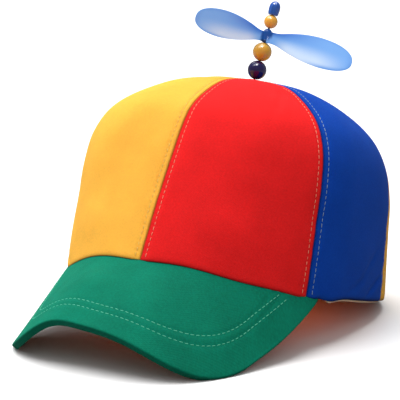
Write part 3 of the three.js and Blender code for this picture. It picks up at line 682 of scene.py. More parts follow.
def panel_faces(start, end):
    """Outer and inner face of a panel between two seams, as grids of points, and the cloth's own place. The
    outer face is the crown's face pushed in by the cloth's depth and rolled in at its edges; the inner face
    lies a wall deeper and starts where that depth meets the hem. Above the hem the outer face turns in by a
    depth that is a square of the height left to the tuck's top. The painted shade by the hem and the seams,
    which darkens the cloth's colour there, is a bell in the height and in the distance to the seam."""
    crown = setting("crown")
    shares = [np.linspace(0, HEM_SHARE, HEM_ROWS, endpoint=False), np.linspace(HEM_SHARE, 1, PANEL_ROWS)]
    share = np.concatenate(shares)[:, None]
    even = np.linspace(0, 1, PANEL_COLUMNS)
    column = (1 - EDGE_CROWDING) * even + EDGE_CROWDING * (1 - np.cos(math.pi * even)) / 2
    first = start + turn_for_distance(start, share, SEAM_GAP / 2)
    last = end - turn_for_distance(end, share, SEAM_GAP / 2)
    turn = first + (last - first) * column
    share = np.broadcast_to(share, turn.shape)
    to_first = (turn - start) / turn_for_distance(start, share, 1)
    to_last = (end - turn) / turn_for_distance(end, share, 1)
    distance = np.minimum(to_first, to_last)
    up = climb(turn, share)
    depth = cloth_depth(turn, share, distance, up)
    tuck = crown.tuck_depth * np.clip(1 - up / crown.tuck_reach, 0, 1) ** 2
    edge = np.maximum(roll(distance, crown.seam_roll), roll(up, crown.hem_roll) + tuck)
    normal = crown_normal(turn, share)
    outer = crown_face(turn, share) - normal * (depth + edge)[..., None]
    outer = set_on_hem(outer, turn)
    wall_depth = depth[:1] + crown.wall
    foot = crown_face(turn[:1], share[:1])
    below = foot - normal[:1] * wall_depth[..., None]
    lift = hem_height(below[..., 0], below[..., 1], turn[:1]) - below[..., 2]
    rise = (crown_face(turn[:1], share[:1] + HEM_SHARE) - foot)[..., 2]
    inner_start = np.maximum(lift, 0) / rise * HEM_SHARE
    inner_share = inner_start + (1 - inner_start) * share
    inner_normal = crown_normal(turn, inner_share)
    inner = crown_face(turn, inner_share) - inner_normal * (depth + crown.wall)[..., None]
    inner = set_on_hem(inner, turn)
    # Painted shade mask: full by the hem, half as dark by the seams
    shade = np.maximum(bell(up, crown.painted_shade_reach), 0.5 * bell(distance / crown.painted_shade_reach * 1.8))
    place = np.stack([to_first, up, shade], axis=-1)
    return outer, inner, place


def grid_faces(rows, columns, wrap_rows=False, wrap_columns=False, first=0):
    """Four-sided faces of a grid of points that are numbered row by row from the first."""
    row = np.arange(rows if wrap_rows else rows - 1)[:, None]
    column = np.arange(columns if wrap_columns else columns - 1)[None, :]
    next_row = (row + 1) % rows
    next_column = (column + 1) % columns
    corners = [row * columns + column, row * columns + next_column,
               next_row * columns + next_column, next_row * columns + column]
    return np.stack(np.broadcast_arrays(*corners), axis=-1).reshape(-1, 4) + first


def tube_faces(sections, around):
    """Faces of closed sections in a row, and one over the first and one over the last section."""
    ring = np.arange(around)
    ends = np.stack([ring[::-1], ring + (sections - 1) * around])
    return [grid_faces(sections, around, wrap_columns=True), ends]


def shell_faces(rows, columns):
    """Faces of a closed shell of two grids of points, the outer one first, joined along their four sides."""
    count = rows * columns
    outer = grid_faces(rows, columns)
    inner = grid_faces(rows, columns, first=count)[:, ::-1]
    index = np.arange(count).reshape(rows, columns)
    ring = np.concatenate([index[0, :-1], index[:-1, -1], index[-1, :0:-1], index[:0:-1, 0]])
    after = np.roll(ring, -1)
    side = np.stack([after, ring, ring + count, after + count], axis=-1)
    return np.concatenate([outer, inner, side])


def facing_out(points, faces):
    """Faces turned round if the volume that they enclose comes out negative."""
    volume = 0
    for block in faces:
        first = points[block[:, 0]]
        for corner in range(1, block.shape[1] - 1):
            crossed = np.cross(points[block[:, corner]], points[block[:, corner + 1]])
            volume += (first * crossed).sum()
    return [block[:, ::-1] for block in faces] if volume < 0 else faces


def stem_axis():
    """The spin axis that the frame gives: its direction and the middle of the hub, in the row's frame."""
    spin = next(joint for joint in frame["joints"] if joint["name"] == "propeller_spin")
    return unit(np.array(spin["axis"], float)), np.array(spin["pos_m"], float)


def hub_place():
    """Distance along the stem from the apex to the hub: two beads on the leaning stem and their gaps."""
    stem = setting("stem")
    gap = setting("crown").gap
    lean_factor = np.linalg.norm(stem_lean())
    return (stem.large_bead + gap) * lean_factor + 3 * stem.large_bead + 2 * gap


def blade_height():
    """Distance along the stem from the apex to the middle of the blades."""
    stem = setting("stem")
    return hub_place() + stem.hub_height * stem.blade_lift


def turned(x, y, heading):
    """Plan coordinates turned about the origin by a heading."""
    return x * math.cos(heading) - y * math.sin(heading), x * math.sin(heading) + y * math.cos(heading)


def tilted(points, tilt):
    """Points turned back about the X axis: y cos + z sin, and z cos - y sin."""
    x, y, z = np.moveaxis(points, -1, 0)
    return np.stack([x, y * math.cos(tilt) + z * math.sin(tilt), z * math.cos(tilt) - y * math.sin(tilt)], -1)


def cap_to_row(points):
    """Points of the cap's own frame as it lies on the surface. The tilt is what turns the stem's lean into
    the frame's spin axis, the shift brings the hub's middle to the joint, and the surface presses flat what
    would reach below it."""
    stem = setting("stem")
    axis, middle = stem_axis()
    tilt = math.atan2(axis[1], axis[2]) - stem.lean_back
    hub_middle = apex_point() + unit(stem_lean()) * (hub_place() + stem.hub_height / 2)
    placed = tilted(points, tilt) + middle - tilted(hub_middle, tilt)
    placed[..., 2] = np.maximum(placed[..., 2], 0)
    return placed


def stem_to_row(points):
    """Points of the stem's frame, with Z along the stem from the apex, turned onto the stem by the shortest
    turn and laid on the surface with the cap."""
    direction = unit(stem_lean())
    cross = np.array([[0, 0, direction[0]], [0, 0, direction[1]], [-direction[0], -direction[1], 0]])
    turn = np.eye(3) + cross + cross @ cross / (1 + direction[2])
    return cap_to_row(points @ turn.T + apex_point())


def new_object(name, data):
    """An object of the scene that shows a mesh, a light or a camera."""
    made = bpy.data.objects.new(name, data)
    bpy.context.scene.collection.objects.link(made)
    return made


def new_mesh(name, points, faces):
    """A mesh from points and blocks of faces, which are turned to face out."""
    points = np.asarray(points, float).reshape(-1, 3)
    mesh = bpy.data.meshes.new(name)
    blocks = facing_out(points, faces)
    mesh.from_pydata(points.tolist(), [], [face for block in blocks for face in block.tolist()])
    return mesh


def add_piece(name, points, faces, body, slot, material, replaces=(), attributes=None):
    """A mesh object from points in the row's frame and blocks of faces, riding on a body."""
    mesh = new_mesh(name, points, faces)
    if mesh.validate():
        raise RuntimeError(f"{name}: its mesh had faults")
    for attribute, values in (attributes or {}).items():
        kind = "FLOAT" if values.ndim == 1 else "FLOAT_VECTOR"
        field = "value" if values.ndim == 1 else "vector"
        layer = mesh.attributes.new(attribute, kind, "POINT")
        layer.data.foreach_set(field, values.astype(np.float32).ravel())
    mesh.shade_smooth()
    mesh.materials.append(material)
    piece = new_object(name, mesh)
    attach(piece, body)
    if replaces:
        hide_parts(*replaces)


def lathe(radii, heights, sides=ROUND_SIDES, shape=None):
    """Points of a round body: rings of the given radii and heights, each times a shape round the axis."""
    turn = np.linspace(0, 2 * math.pi, sides, endpoint=False)
    radius = np.asarray(radii, float)[:, None] * (np.ones(sides) if shape is None else shape)
    height = np.broadcast_to(np.asarray(heights, float)[:, None], radius.shape)
    return np.stack([radius * np.cos(turn), radius * np.sin(turn), height], axis=-1)


def table_rings(table, radius, place, height):
    """Radii and heights of the rings of a round body whose table gives shares of its radius and height."""
    rows = np.linspace(0, len(table) - 1, ROUND_ROWS)
    return radius * table_value(table, "radius", rows), place + height * table_value(table, "up", rows)


def stitches(path, normal):
    """Stitches along a path: at each pitch an ellipsoid, long along the path and flat on the cloth, whose
    middle stands out from the cloth by part of its thickness and whose ends dip into it."""
    trim = setting("trim")
    radius = trim.thread_radius
    steps = np.linalg.norm(np.diff(path, axis=0), axis=-1)
    run = np.concatenate([[0], np.cumsum(steps)])
    centres = np.arange(trim.stitch_pitch / 2, run[-1], trim.stitch_pitch)

    def at_centres(values):
        return np.stack([np.interp(centres, run, values[:, k]) for k in range(3)], axis=-1)

    place = at_centres(path)
    along = unit(at_centres(np.gradient(path, axis=0)))
    out = unit(at_centres(normal))
    beside = np.cross(out, along)
    sweep = np.linspace(0, math.pi, STITCH_ROWS + 2)[1:-1, None]
    round_turn = np.linspace(0, 2 * math.pi, STITCH_SIDES, endpoint=False)[None, :]
    long_part = np.broadcast_to(-np.cos(sweep) * trim.stitch_length / 2, (STITCH_ROWS, STITCH_SIDES))
    wide_part = np.sin(sweep) ** STITCH_POWER * np.cos(round_turn) * radius
    high_part = np.sin(sweep) ** STITCH_POWER * np.sin(round_turn) * radius * STITCH_FLATNESS
    arch = (np.sin(sweep) - STITCH_SINK) * radius * STITCH_ARCH + 0 * round_turn
    local = np.stack([long_part, wide_part, high_part + arch], axis=-1).reshape(-1, 3)
    draw = np.random.default_rng(len(centres))
    stretch = draw.uniform(*STITCH_STRETCH, (len(centres), 1))
    skew = draw.uniform(-STITCH_SKEW, STITCH_SKEW, (len(centres), 1))
    axes = np.stack([(along + beside * skew) * stretch, beside, out], axis=1)
    points = place[:, None, :] + np.einsum("pk,skc->spc", local, axes)
    offsets = np.arange(len(centres))[:, None, None] * len(local)
    one_stitch = tube_faces(STITCH_ROWS, STITCH_SIDES)
    return points.reshape(-1, 3), [(block + offsets).reshape(-1, block.shape[1]) for block in one_stitch]


def sewn_rows(paths):
    """Points in the row's frame and faces of the stitches along several paths, each with its normals."""
    points = []
    blocks = []
    count = 0
    for path, normal in paths:
        made, faces = stitches(path, normal)
        points.append(made)
        blocks += [block + count for block in faces]
        count += len(made)
    return cap_to_row(np.concatenate(points)), blocks


def panel_stitch_path(seam, side):
    """A row of topstitching that keeps its distance to a seam, with the cloth's normal."""
    trim = setting("trim")
    share = np.linspace(*SEAM_STITCHES, PATH_POINTS)
    turn = seam + side * turn_for_distance(seam, share, trim.seam_to_stitch)
    up = climb(turn, share)
    normal = crown_normal(turn, share)
    distance = np.full(share.shape, trim.seam_to_stitch)
    return crown_face(turn, share) - normal * cloth_depth(turn, share, distance, up)[:, None], normal


def visor_outline(place, side_inset=0.0, front_inset=0.0):
    """The visor's outline in plan, from -1 at one end to 1 at the other: a superellipse about the line of its
    ends, drawn in to them near each end. Insets move it in from the side and from the front."""
    crown = setting("crown")
    visor = setting("visor")
    end_x, end_y = visor_end()
    turn = place * math.pi / 2
    power = 2 / visor.corner_power
    ahead = np.abs(np.cos(turn)) ** power
    half_width = visor.half_width - side_inset
    across = half_width * np.abs(np.sin(turn)) ** power
    drawn_in = smooth((np.abs(place) - 1 + visor.draw_in) / visor.draw_in)
    x = np.sign(place) * (across + (end_x - visor.half_width) * drawn_in)
    y = end_y - (crown.front_reach + visor.reach - front_inset + end_y) * ahead
    return x, y


def distance_to_row(x, y, side_inset, front_inset):
    """Distance in plan to a stitch row: the superellipse's level less one, over the length of its slope."""
    crown = setting("crown")
    visor = setting("visor")
    end_y = visor_end()[1]
    wide = visor.half_width - side_inset
    long = crown.front_reach + visor.reach - front_inset + end_y
    power = visor.corner_power
    across = np.abs(x) / wide
    ahead = np.maximum(end_y - y, 0) / long
    level = np.maximum((across**power + ahead**power) ** (1 / power), 1e-6)
    slope_x = (across / level) ** (power - 1) / wide
    slope_y = (ahead / level) ** (power - 1) / long
    return (level - 1) / np.hypot(slope_x, slope_y)


def stitch_rows():
    """Side and front insets of the visor's two rows of stitching."""
    visor = setting("visor")
    side = visor.stitch_side_inset
    front = visor.stitch_front_inset
    return [(side, front), (side + visor.stitch_side_gap, front + visor.stitch_front_gap)]


def visor_relief(x, y):
    """Height of the cloth over the board: a groove at each stitch row, a low swell beside them and a slow
    unevenness of the board."""
    relief = BOARD_UNEVENNESS * waves(21, x, y, 0.07, 0.03, 5)
    for insets in stitch_rows():
        off = distance_to_row(x, y, *insets)
        relief = relief - STITCH_GROOVE * bell(off, GROOVE_WIDTH)
        relief = relief + STITCH_SWELL * bell(off, STITCH_SWELL_WIDTH)
    return relief


def visor_normal(x, y):
    """Upward direction of the visor's top face, from its slopes across and along."""
    step = LENGTH_STEP
    across = (visor_height(x + step, y) - visor_height(x - step, y)) / (2 * step)
    along = (visor_height(x, y + step) - visor_height(x, y - step)) / (2 * step)
    return unit(np.stack([-across, -along, np.ones_like(across)], axis=-1))


def visor_points():
    """The visor as closed sections from the crown to its edge. A section's middle runs straight in plan from
    the sewn edge to the outline, half a thickness under the top face. Its half thickness falls by the edge's
    rounding as a quarter circle, and the edge between the two rounds is upright."""
    crown = setting("crown")
    visor = setting("visor")
    place = np.linspace(-1, 1, VISOR_COLUMNS + 1)[:, None]
    turn = place * visor.end_angle
    rim = crown_face(turn, np.zeros_like(turn))
    inward = crown_normal(turn, np.zeros_like(turn))[..., :2]
    inner = rim[..., :2] - unit(inward) * (crown.wall + crown.seam_dip)
    outer = np.stack(visor_outline(place), axis=-1)
    run = np.linalg.norm(outer - inner, axis=-1)
    thinning = smooth((np.abs(place) - 1 + visor.thinning) / visor.thinning)
    thickness = visor.thickness + (visor.end_thickness - visor.thickness) * thinning
    thickness = thickness + visor.cover * (1 - thinning)
    rounding = np.minimum(visor.edge_rounding, run * 0.45)
    sweep = np.linspace(0, math.pi / 2, EDGE_ROWS + 1)[1:]
    near_edge = 1 - (rounding / run) * (1 - np.sin(sweep))
    flat = np.linspace(0, 1, VISOR_ROWS) * (1 - rounding / run)
    share = np.concatenate([flat, near_edge], axis=1)
    from_edge = (1 - share) * run / rounding
    body = np.sqrt(1 - np.clip(1 - from_edge, 0, 1) ** 2)
    x = inner[..., 0] + (outer[..., 0] - inner[..., 0]) * share
    y = inner[..., 1] + (outer[..., 1] - inner[..., 1]) * share
    top = np.stack([x, y, visor_height(x, y)], axis=-1)
    normal = visor_normal(x, y)
    plumb = np.stack([np.zeros_like(x), np.zeros_like(x), 1 / normal[..., 2]], axis=-1)
    mix = np.clip(2 * share, 0, 1)[..., None]
    through = (plumb * (1 - mix) + normal * mix) * thickness[..., None]
    middle = top - through / 2
    fade = smooth(share / 0.1) * smooth((from_edge - 0.8) / 2)
    fallen = (1 - (rounding / thickness * 2) * (1 - body))[..., None]
    relief = normal * (visor_relief(x, y) * fade)[..., None]
    upper = middle + through / 2 * fallen + relief
    lower = middle - through / 2 * fallen - relief * UNDER_SHARE
    side = np.linspace(0, 1, EDGE_ROWS + 2)[None, 1:-1, None]
    edge = upper[:, -1:] * (1 - side) + lower[:, -1:] * side
    loop = np.concatenate([upper, edge, lower[:, ::-1]], axis=1)
    # The third value marks the painted shade of the visor's front edge: full on the upright edge, fading over
    # the start of its rounds
    cloth = np.stack([x, y, 1 - smooth((from_edge - 0.1) / 0.6)], axis=-1)
    down = visor.thickness * side[..., 0]
    beside = np.stack([x[:, -1:] + 0 * down, y[:, -1:] - down, 1 + 0 * down + 0 * x[:, -1:]], axis=-1)
    return loop, np.concatenate([cloth, beside, cloth[:, ::-1]], axis=1)


def visor_stitch_path(side_inset, front_inset, under):
    """A stitch row over the visor between the places where it goes under the crown, on top or underneath."""
    place = np.linspace(-VISOR_STITCHES, VISOR_STITCHES, 2 * PATH_POINTS)
    x, y = visor_outline(place, side_inset, front_inset)
    clear = rim_level(x, y) > CLEAR_OF_RIM
    x, y = x[clear], y[clear]
    normal = visor_normal(x, y)
    path = np.stack([x, y, visor_height(x, y)], axis=-1)
    relief = visor_relief(x, y)
    if under:
        return path - normal * (setting("visor").thickness - relief * UNDER_SHARE)[:, None], -normal
    return path + normal * relief[:, None], normal


def sweatband_points():
    """The sweatband as closed sections round the hem. A section's middle follows the crown's face at the
    lining's depth, its half thickness is rounded at both ends, and its lower edge is drawn down below the hem
    at the sides, with slow waves."""
    crown = setting("crown")
    trim = setting("trim")
    turn = np.linspace(0, 2 * math.pi, BAND_COLUMNS, endpoint=False)[:, None]
    finer = np.linspace(0, 1, 400)
    heights = table_value(CROWN_PROFILE, "height", finer * (len(CROWN_PROFILE) - 1)) * crown.height
    top_share = np.interp(trim.band_height, heights, finer)
    sweep = np.linspace(0, math.pi / 2, EDGE_ROWS)
    end = 0.5 * trim.band_thickness / trim.band_height
    low_rows = end * (1 - np.cos(sweep))
    rows = np.concatenate([low_rows, np.linspace(end, 1 - end, BAND_ROWS)[1:-1], 1 - low_rows[::-1]])[None, :]
    from_end = np.minimum(rows, 1 - rows) / end
    body = np.sqrt(np.clip(1 - np.clip(1 - from_end, 0, 1) ** 2, 0, 1))
    share = top_share * rows + 0 * turn
    turn = turn + 0 * rows
    lining = crown.wall + crown.seam_dip + crown.gap + np.maximum(soft_depth(turn, share), 0)
    around = turn * crown.half_width
    ripple = trim.band_wave * waves(33, around, 0 * around, 2 * math.pi * crown.half_width / 9, 0.02, 6)
    hanging = (1 - rows) ** 5
    middle = lining + trim.band_thickness / 2 + np.maximum(ripple, 0) * hanging
    half = trim.band_thickness / 2 * body
    normal = crown_normal(turn, share)
    face = crown_face(turn, share)
    low = (face - normal * middle[..., None])[:, :1]
    hem = hem_height(low[..., 0], low[..., 1], turn[:, :1])
    bottom = hem - trim.band_peek * np.abs(np.sin(turn)) + ripple * 0.6
    drop = (bottom - low[..., 2]) * hanging
    outside = face - normal * (middle - half)[..., None]
    inside = face - normal * (middle + half)[..., None]
    outside[..., 2] += drop
    inside[..., 2] += drop
    loop = np.concatenate([outside, inside[:, -2:0:-1]], axis=1)
    place = np.stack([around, share * crown.height, 0 * around], axis=-1)
    return loop, np.concatenate([place, place[:, -2:0:-1]], axis=1)


def blade_form(along):
    """A blade's share of its width and its pitch at a share along it: the table's values up to its widest
    row, and beyond it a superellipse that closes at the tip."""
    place = np.linspace(0, len(BLADE_OUTLINE) - 1, 400)
    run = table_value(BLADE_OUTLINE, "along", place)
    width = np.interp(along, run, table_value(BLADE_OUTLINE, "width", place))
    pitch = np.interp(along, run, table_value(BLADE_OUTLINE, "pitch", place))
    widest = max(BLADE_OUTLINE, key=lambda row: row["width"])["along"]
    beyond = np.clip((along - widest) / (1 - widest), 0, 1)
    tip = (1 - beyond**TIP_POWER) ** (1 / TIP_POWER)
    return np.where(along > widest, tip, width), np.radians(pitch)


def blade_points(blade_length, blade_width, heading):
    """A blade as closed sections along it. Each section is a flat superellipse across the pitched chord, with
    the width and pitch of the blade's form, and thins where the tip narrows."""
    stem = setting("stem")
    along = np.sin(np.linspace(0, math.pi / 2 - 0.01, BLADE_STATIONS))[:, None]
    width, pitch = blade_form(along)
    half_width = blade_width / 2 * width
    turn = np.linspace(0, 2 * math.pi, BLADE_SIDES, endpoint=False)[None, :]
    chord = signed_power(np.cos(turn), CHORD_POWER) * half_width
    face = signed_power(np.sin(turn), FACE_POWER) * stem.blade_thickness / 2
    face = face * np.clip(width / THIN_WIDTH, 0, 1) ** 0.5
    root = 1 - smooth(along / stem.root_run)
    x = blade_length * along + 0 * turn
    y = -stem.root_offset * root + chord * np.cos(pitch) - face * np.sin(pitch)
    z = blade_height() + chord * np.sin(pitch) + face * np.cos(pitch)
    return np.stack([*turned(x, y, heading), z], axis=-1)


def blade_tints(points):
    """How deep, how pale, how near a rim and how much of the hub each point of the propeller is, from its
    place in the stem's frame: the share along its blade and across it from its lower to its upper edge."""
    stem = setting("stem")
    x, y = turned(points[:, 0], points[:, 1], -stem.heading)
    side = np.where(x > 0, 1.0, -1.0)
    blade_length = np.where(x > 0, stem.left_length, stem.right_length)
    blade_width = np.where(x > 0, stem.left_width, stem.right_width)
    share = np.clip(np.abs(x) / blade_length, 0, 1)
    width, pitch = blade_form(share)
    root = 1 - smooth(share / stem.root_run)
    height = points[:, 2] - blade_height()
    chord = (y * side + stem.root_offset * root) * np.cos(pitch) + height * np.sin(pitch)
    across = np.clip(chord / (blade_width / 2 * np.maximum(width, 0.05)), -1, 1)
    upper = smooth((across + 0.1) / 1.1)
    hub = 1 - smooth((np.hypot(points[:, 0], points[:, 1]) - stem.collar_radius) / HUB_BLEND)
    up = (points[:, 2] - hub_place()) / stem.hub_height
    # Mask of the painted shade on the hub's foot
    collar = hub * (1 - smooth((up - 0.13) / 0.08))
    deep = np.clip(upper * (1 - smooth((share - 0.12) / 0.62)), 0, 1)
    pale = smooth((0.35 - across) / 1.1) * smooth((share - 0.06) / 0.2) * (1 - smooth((share - 0.55) / 0.45))
    rim = smooth((np.abs(across) - 0.72) / 0.28) * smooth((share - 0.4) / 0.3)
    rim = np.maximum(rim, smooth((share - 0.9) / 0.1))
    return {"deep": deep, "pale": pale, "rim": rim, "hub": hub, "collar": collar}


class Nodes:
    """A material's or a group's node tree, with short ways to add and join nodes."""

    def __init__(self, tree):
        self.tree = tree

    def add(self, kind, inputs=None, **values):
        """A node with its settings. An input is a value or another node's output."""
        node = self.tree.nodes.new(kind)
        for key, value in values.items():
            setattr(node, key, value)
        for key, value in (inputs or {}).items():
            if isinstance(value, bpy.types.NodeSocket):
                self.tree.links.new(value, node.inputs[key])
            else:
                node.inputs[key].default_value = value
        return node

    def maths(self, operation, first, second=0.0, third=0.0):
        """The output of a Math node."""
        return self.add("ShaderNodeMath", {0: first, 1: second, 2: third}, operation=operation).outputs[0]

    def mix(self, share, first, second, blend="MIX"):
        """The output of a colour mix."""
        inputs = {0: share, 6: first, 7: second}
        return self.add("ShaderNodeMix", inputs, data_type="RGBA", blend_type=blend).outputs[2]

    def noise(self, vector, scale, detail=2.0, roughness=0.5):
        """The value of a Noise Texture."""
        inputs = {"Vector": vector, "Scale": scale, "Detail": detail, "Roughness": roughness}
        return self.add("ShaderNodeTexNoise", inputs).outputs[0]

    def attribute(self, name, output="Fac"):
        """A point attribute of the mesh."""
        return self.add("ShaderNodeAttribute", attribute_name=name).outputs[output]

    def surface(self, shader, base, tone, bump, settings):
        """A tone times a base colour, a bump of a strength, a depth in millimetres and a height, and the
        shader's plain settings."""
        tint = self.add("ShaderNodeCombineColor", {0: tone, 1: tone, 2: tone}).outputs[0]
        self.tree.links.new(self.mix(1.0, base, tint, "MULTIPLY"), shader.inputs["Base Color"])
        if bump:
            strength, depth, height = bump
            inputs = {"Strength": strength, "Distance": depth * MILLIMETRE, "Height": height}
            self.tree.links.new(self.add("ShaderNodeBump", inputs).outputs[0], shader.inputs["Normal"])
        for key, value in settings.items():
            shader.inputs[key].default_value = value


def new_group(name, inputs):
    """An empty shader node group that gives a height and a tone, with its input and output nodes."""
    group = bpy.data.node_groups.new(name, "ShaderNodeTree")
    for label, kind, default in inputs:
        socket = group.interface.new_socket(label, in_out="INPUT", socket_type=kind)
        if default is not None:
            socket.default_value = default
    for label in ("Height", "Tone"):
        group.interface.new_socket(label, in_out="OUTPUT", socket_type="NodeSocketFloat")
    nodes = Nodes(group)
    return group, nodes, nodes.add("NodeGroupInput"), nodes.add("NodeGroupOutput")


def weave_group():
    """Twill: warp and weft threads as two sets of rounded ridges, with a diagonal that says which one lies on
    top, and a fine fuzz. It gives the threads' height and a tone about one, which is lighter on the threads'
    crests and darker between them as painted shade, with a random mottle."""
    made = bpy.data.node_groups.get("Woven Cloth")
    if made:
        return made
    inputs = [("Place", "NodeSocketVector", None), ("Pitch", "NodeSocketFloat", 0.0006),
              ("Mottle", "NodeSocketFloat", 0.06)]
    group, nodes, given, result = new_group("Woven Cloth", inputs)
    place = given.outputs["Place"]
    split = nodes.add("ShaderNodeSeparateXYZ", {0: place})
    turns = nodes.maths("DIVIDE", math.pi, given.outputs["Pitch"])
    warp = nodes.maths("MULTIPLY", split.outputs[0], turns)
    weft = nodes.maths("MULTIPLY", split.outputs[1], turns)
    warp_ridge = nodes.maths("ABSOLUTE", nodes.maths("SINE", warp))
    weft_ridge = nodes.maths("ABSOLUTE", nodes.maths("SINE", weft))
    diagonal = nodes.maths("SINE", nodes.maths("ADD", warp, weft))
    over = nodes.maths("MULTIPLY_ADD", diagonal, 0.5, 0.5)
    upper = nodes.maths("MULTIPLY", warp_ridge, over)
    lower = nodes.maths("MULTIPLY", weft_ridge, nodes.maths("SUBTRACT", 1.0, over))
    threads = nodes.maths("ADD", upper, lower)
    fuzz = nodes.noise(place, 2600.0, 3.0, 0.7)
    height = nodes.maths("MULTIPLY_ADD", fuzz, 0.8, threads)
    patches = nodes.noise(place, 45.0, 4.0, 0.6)
    grain = nodes.noise(place, 900.0, 2.0, 0.6)
    both = nodes.maths("ADD", nodes.maths("SUBTRACT", patches, 0.5), nodes.maths("SUBTRACT", grain, 0.5))
    mottled = nodes.maths("MULTIPLY", both, given.outputs["Mottle"])
    # Tone: painted shade between the threads, lighter on their crests, plus random mottle
    tone = nodes.maths("ADD", nodes.maths("MULTIPLY_ADD", threads, 0.07, 0.96), mottled)
    nodes.tree.links.new(height, result.inputs["Height"])
    nodes.tree.links.new(tone, result.inputs["Tone"])
    return group


def speckle_group():
    """Moulded plastic: soft clouds of colour and a fine grain, as a tone about one and a height."""
    made = bpy.data.node_groups.get("Moulded Plastic")
    if made:
        return made
    inputs = [("Clouds", "NodeSocketFloat", 0.08), ("Scale", "NodeSocketFloat", 220.0)]
    group, nodes, given, result = new_group("Moulded Plastic", inputs)
    place = nodes.add("ShaderNodeTexCoord").outputs["Object"]
    clouds = nodes.noise(place, given.outputs["Scale"], 3.0, 0.55)
    grain = nodes.noise(place, 1900.0, 2.0, 0.5)
    swing = nodes.maths("MULTIPLY", nodes.maths("SUBTRACT", clouds, 0.5), given.outputs["Clouds"])
    nodes.tree.links.new(nodes.maths("ADD", swing, 1.0), result.inputs["Tone"])
    nodes.tree.links.new(grain, result.inputs["Height"])
    return group


def new_material(name):
    """A material with its nodes and its Principled shader."""
    material = bpy.data.materials.new(name)
    material.use_nodes = True
    return material, Nodes(material.node_tree), material.node_tree.nodes["Principled BSDF"]


def cloth_material(name, base, pitch=0.6, mottle=0.35, painted_edge_shade=0.0):
    """Woven cotton: the weave's tone over the base colour, its height as bump, and a soft sheen. A painted
    edge shade darkens the colour where the mesh's edge attribute is high.
    """
    material, nodes, shader = new_material(name)
    inputs = {"Place": nodes.attribute("cloth", "Vector"), "Pitch": pitch * MILLIMETRE, "Mottle": mottle}
    weave = nodes.add("ShaderNodeGroup", inputs, node_tree=weave_group())
    tone = weave.outputs["Tone"]
    # Painted shade: the edge attribute darkens the colour by the panels' hem and seams and along the visor's
    # edge
    if painted_edge_shade:
        tone = nodes.maths("MULTIPLY", tone,
                           nodes.maths("MULTIPLY_ADD", nodes.attribute("edge"), -painted_edge_shade, 1.0))
    nodes.surface(shader, (*base, 1), tone, (0.55, 0.12, weave.outputs["Height"]), {
        "Roughness": 0.88,
        "Specular IOR Level": 0.05,
        "Sheen Weight": setting("cloth").sheen,
        "Sheen Roughness": 0.45,
        "Subsurface Weight": 0.35,
        "Subsurface Radius": (1.0, 0.45, 0.25),
        "Subsurface Scale": 0.002,
    })
    return material


def thread_material(name, base):
    """Spun thread: the thread's colour with a fine mottle, and twisted plies as bump."""
    material, nodes, shader = new_material(name)
    place = nodes.add("ShaderNodeTexCoord").outputs["Object"]
    plies = nodes.noise(place, 3200.0, 2.0, 0.6)
    tone = nodes.maths("MULTIPLY_ADD", plies, 0.5, 0.75)
    nodes.surface(shader, (*base, 1), tone, (0.5, 0.08, plies), {"Roughness": 0.6, "Sheen Weight": 0.1})
    return material


def plastic_material(name, base, roughness, coat, clouds=0.1):
    """Glossy moulded plastic: soft clouds over the base colour and a faint grain."""
    material, nodes, shader = new_material(name)
    speckle = nodes.add("ShaderNodeGroup", {"Clouds": clouds}, node_tree=speckle_group()).outputs
    nodes.surface(shader, (*base, 1), speckle["Tone"], (0.04, 0.02, speckle["Height"]), {
        "Roughness": roughness,
        "Coat Weight": coat,
        "Coat Roughness": 0.05,
    })
    return material


def propeller_material():
    """Translucent plastic: the middle colour, deeper by the roots' upper edges, paler in the lower parts and
    bluer at the rims, with a frosted grain, and near-black painted shade at the hub's foot. Part of the
    colour is emitted as a painted glow, which stands in for the light that thin plastic lets through."""
    material, nodes, shader = new_material("Frosted Sky Plastic")
    plastic = setting("plastic")
    speckle = nodes.add("ShaderNodeGroup", node_tree=speckle_group()).outputs
    rim = [0.75 * b + 0.25 * d for b, d in zip(plastic.blade, plastic.deep)]
    # The collar layer is painted shade at the hub's foot
    layers = {"pale": plastic.pale, "rim": rim, "deep": plastic.deep, "hub": plastic.hub,
              "collar": plastic.collar}
    mixed = (*plastic.blade, 1)
    for name, tint in layers.items():
        mixed = nodes.mix(nodes.attribute(name), mixed, (*tint, 1))
    # The tints are also emitted: a painted glow of the blades
    nodes.tree.links.new(mixed, shader.inputs["Emission Color"])
    tone = nodes.maths("MULTIPLY", speckle["Tone"], plastic.opacity)
    nodes.surface(shader, mixed, tone, (0.2, 0.03, speckle["Height"]), {
        "Emission Strength": plastic.glow,
        "Roughness": 0.42,
        "Specular IOR Level": 0.3,
        "Coat Weight": 0.1,
        "Coat Roughness": 0.15,
    })
    return material


def wire_material():
    """Dark drawn wire: fine lines along its length as roughness and bump."""
    material, nodes, shader = new_material("Dark Wire")
    place = nodes.add("ShaderNodeTexCoord").outputs["Object"]
    stretched = nodes.add("ShaderNodeMapping", {"Vector": place, "Scale": (1, 1, 0.08)}).outputs[0]
    lines = nodes.noise(stretched, 3000.0, 3.0, 0.6)
    nodes.tree.links.new(nodes.maths("MULTIPLY_ADD", lines, 0.3, 0.25), shader.inputs["Roughness"])
    bump = nodes.add("ShaderNodeBump", {"Strength": 0.3, "Distance": 0.02 * MILLIMETRE, "Height": lines})
    nodes.tree.links.new(bump.outputs[0], shader.inputs["Normal"])
    shade = nodes.mix(lines, (0.02, 0.022, 0.028, 1), (0.07, 0.072, 0.08, 1))
    nodes.tree.links.new(shade, shader.inputs["Base Color"])
    shader.inputs["Metallic"].default_value = 0.85
    return material


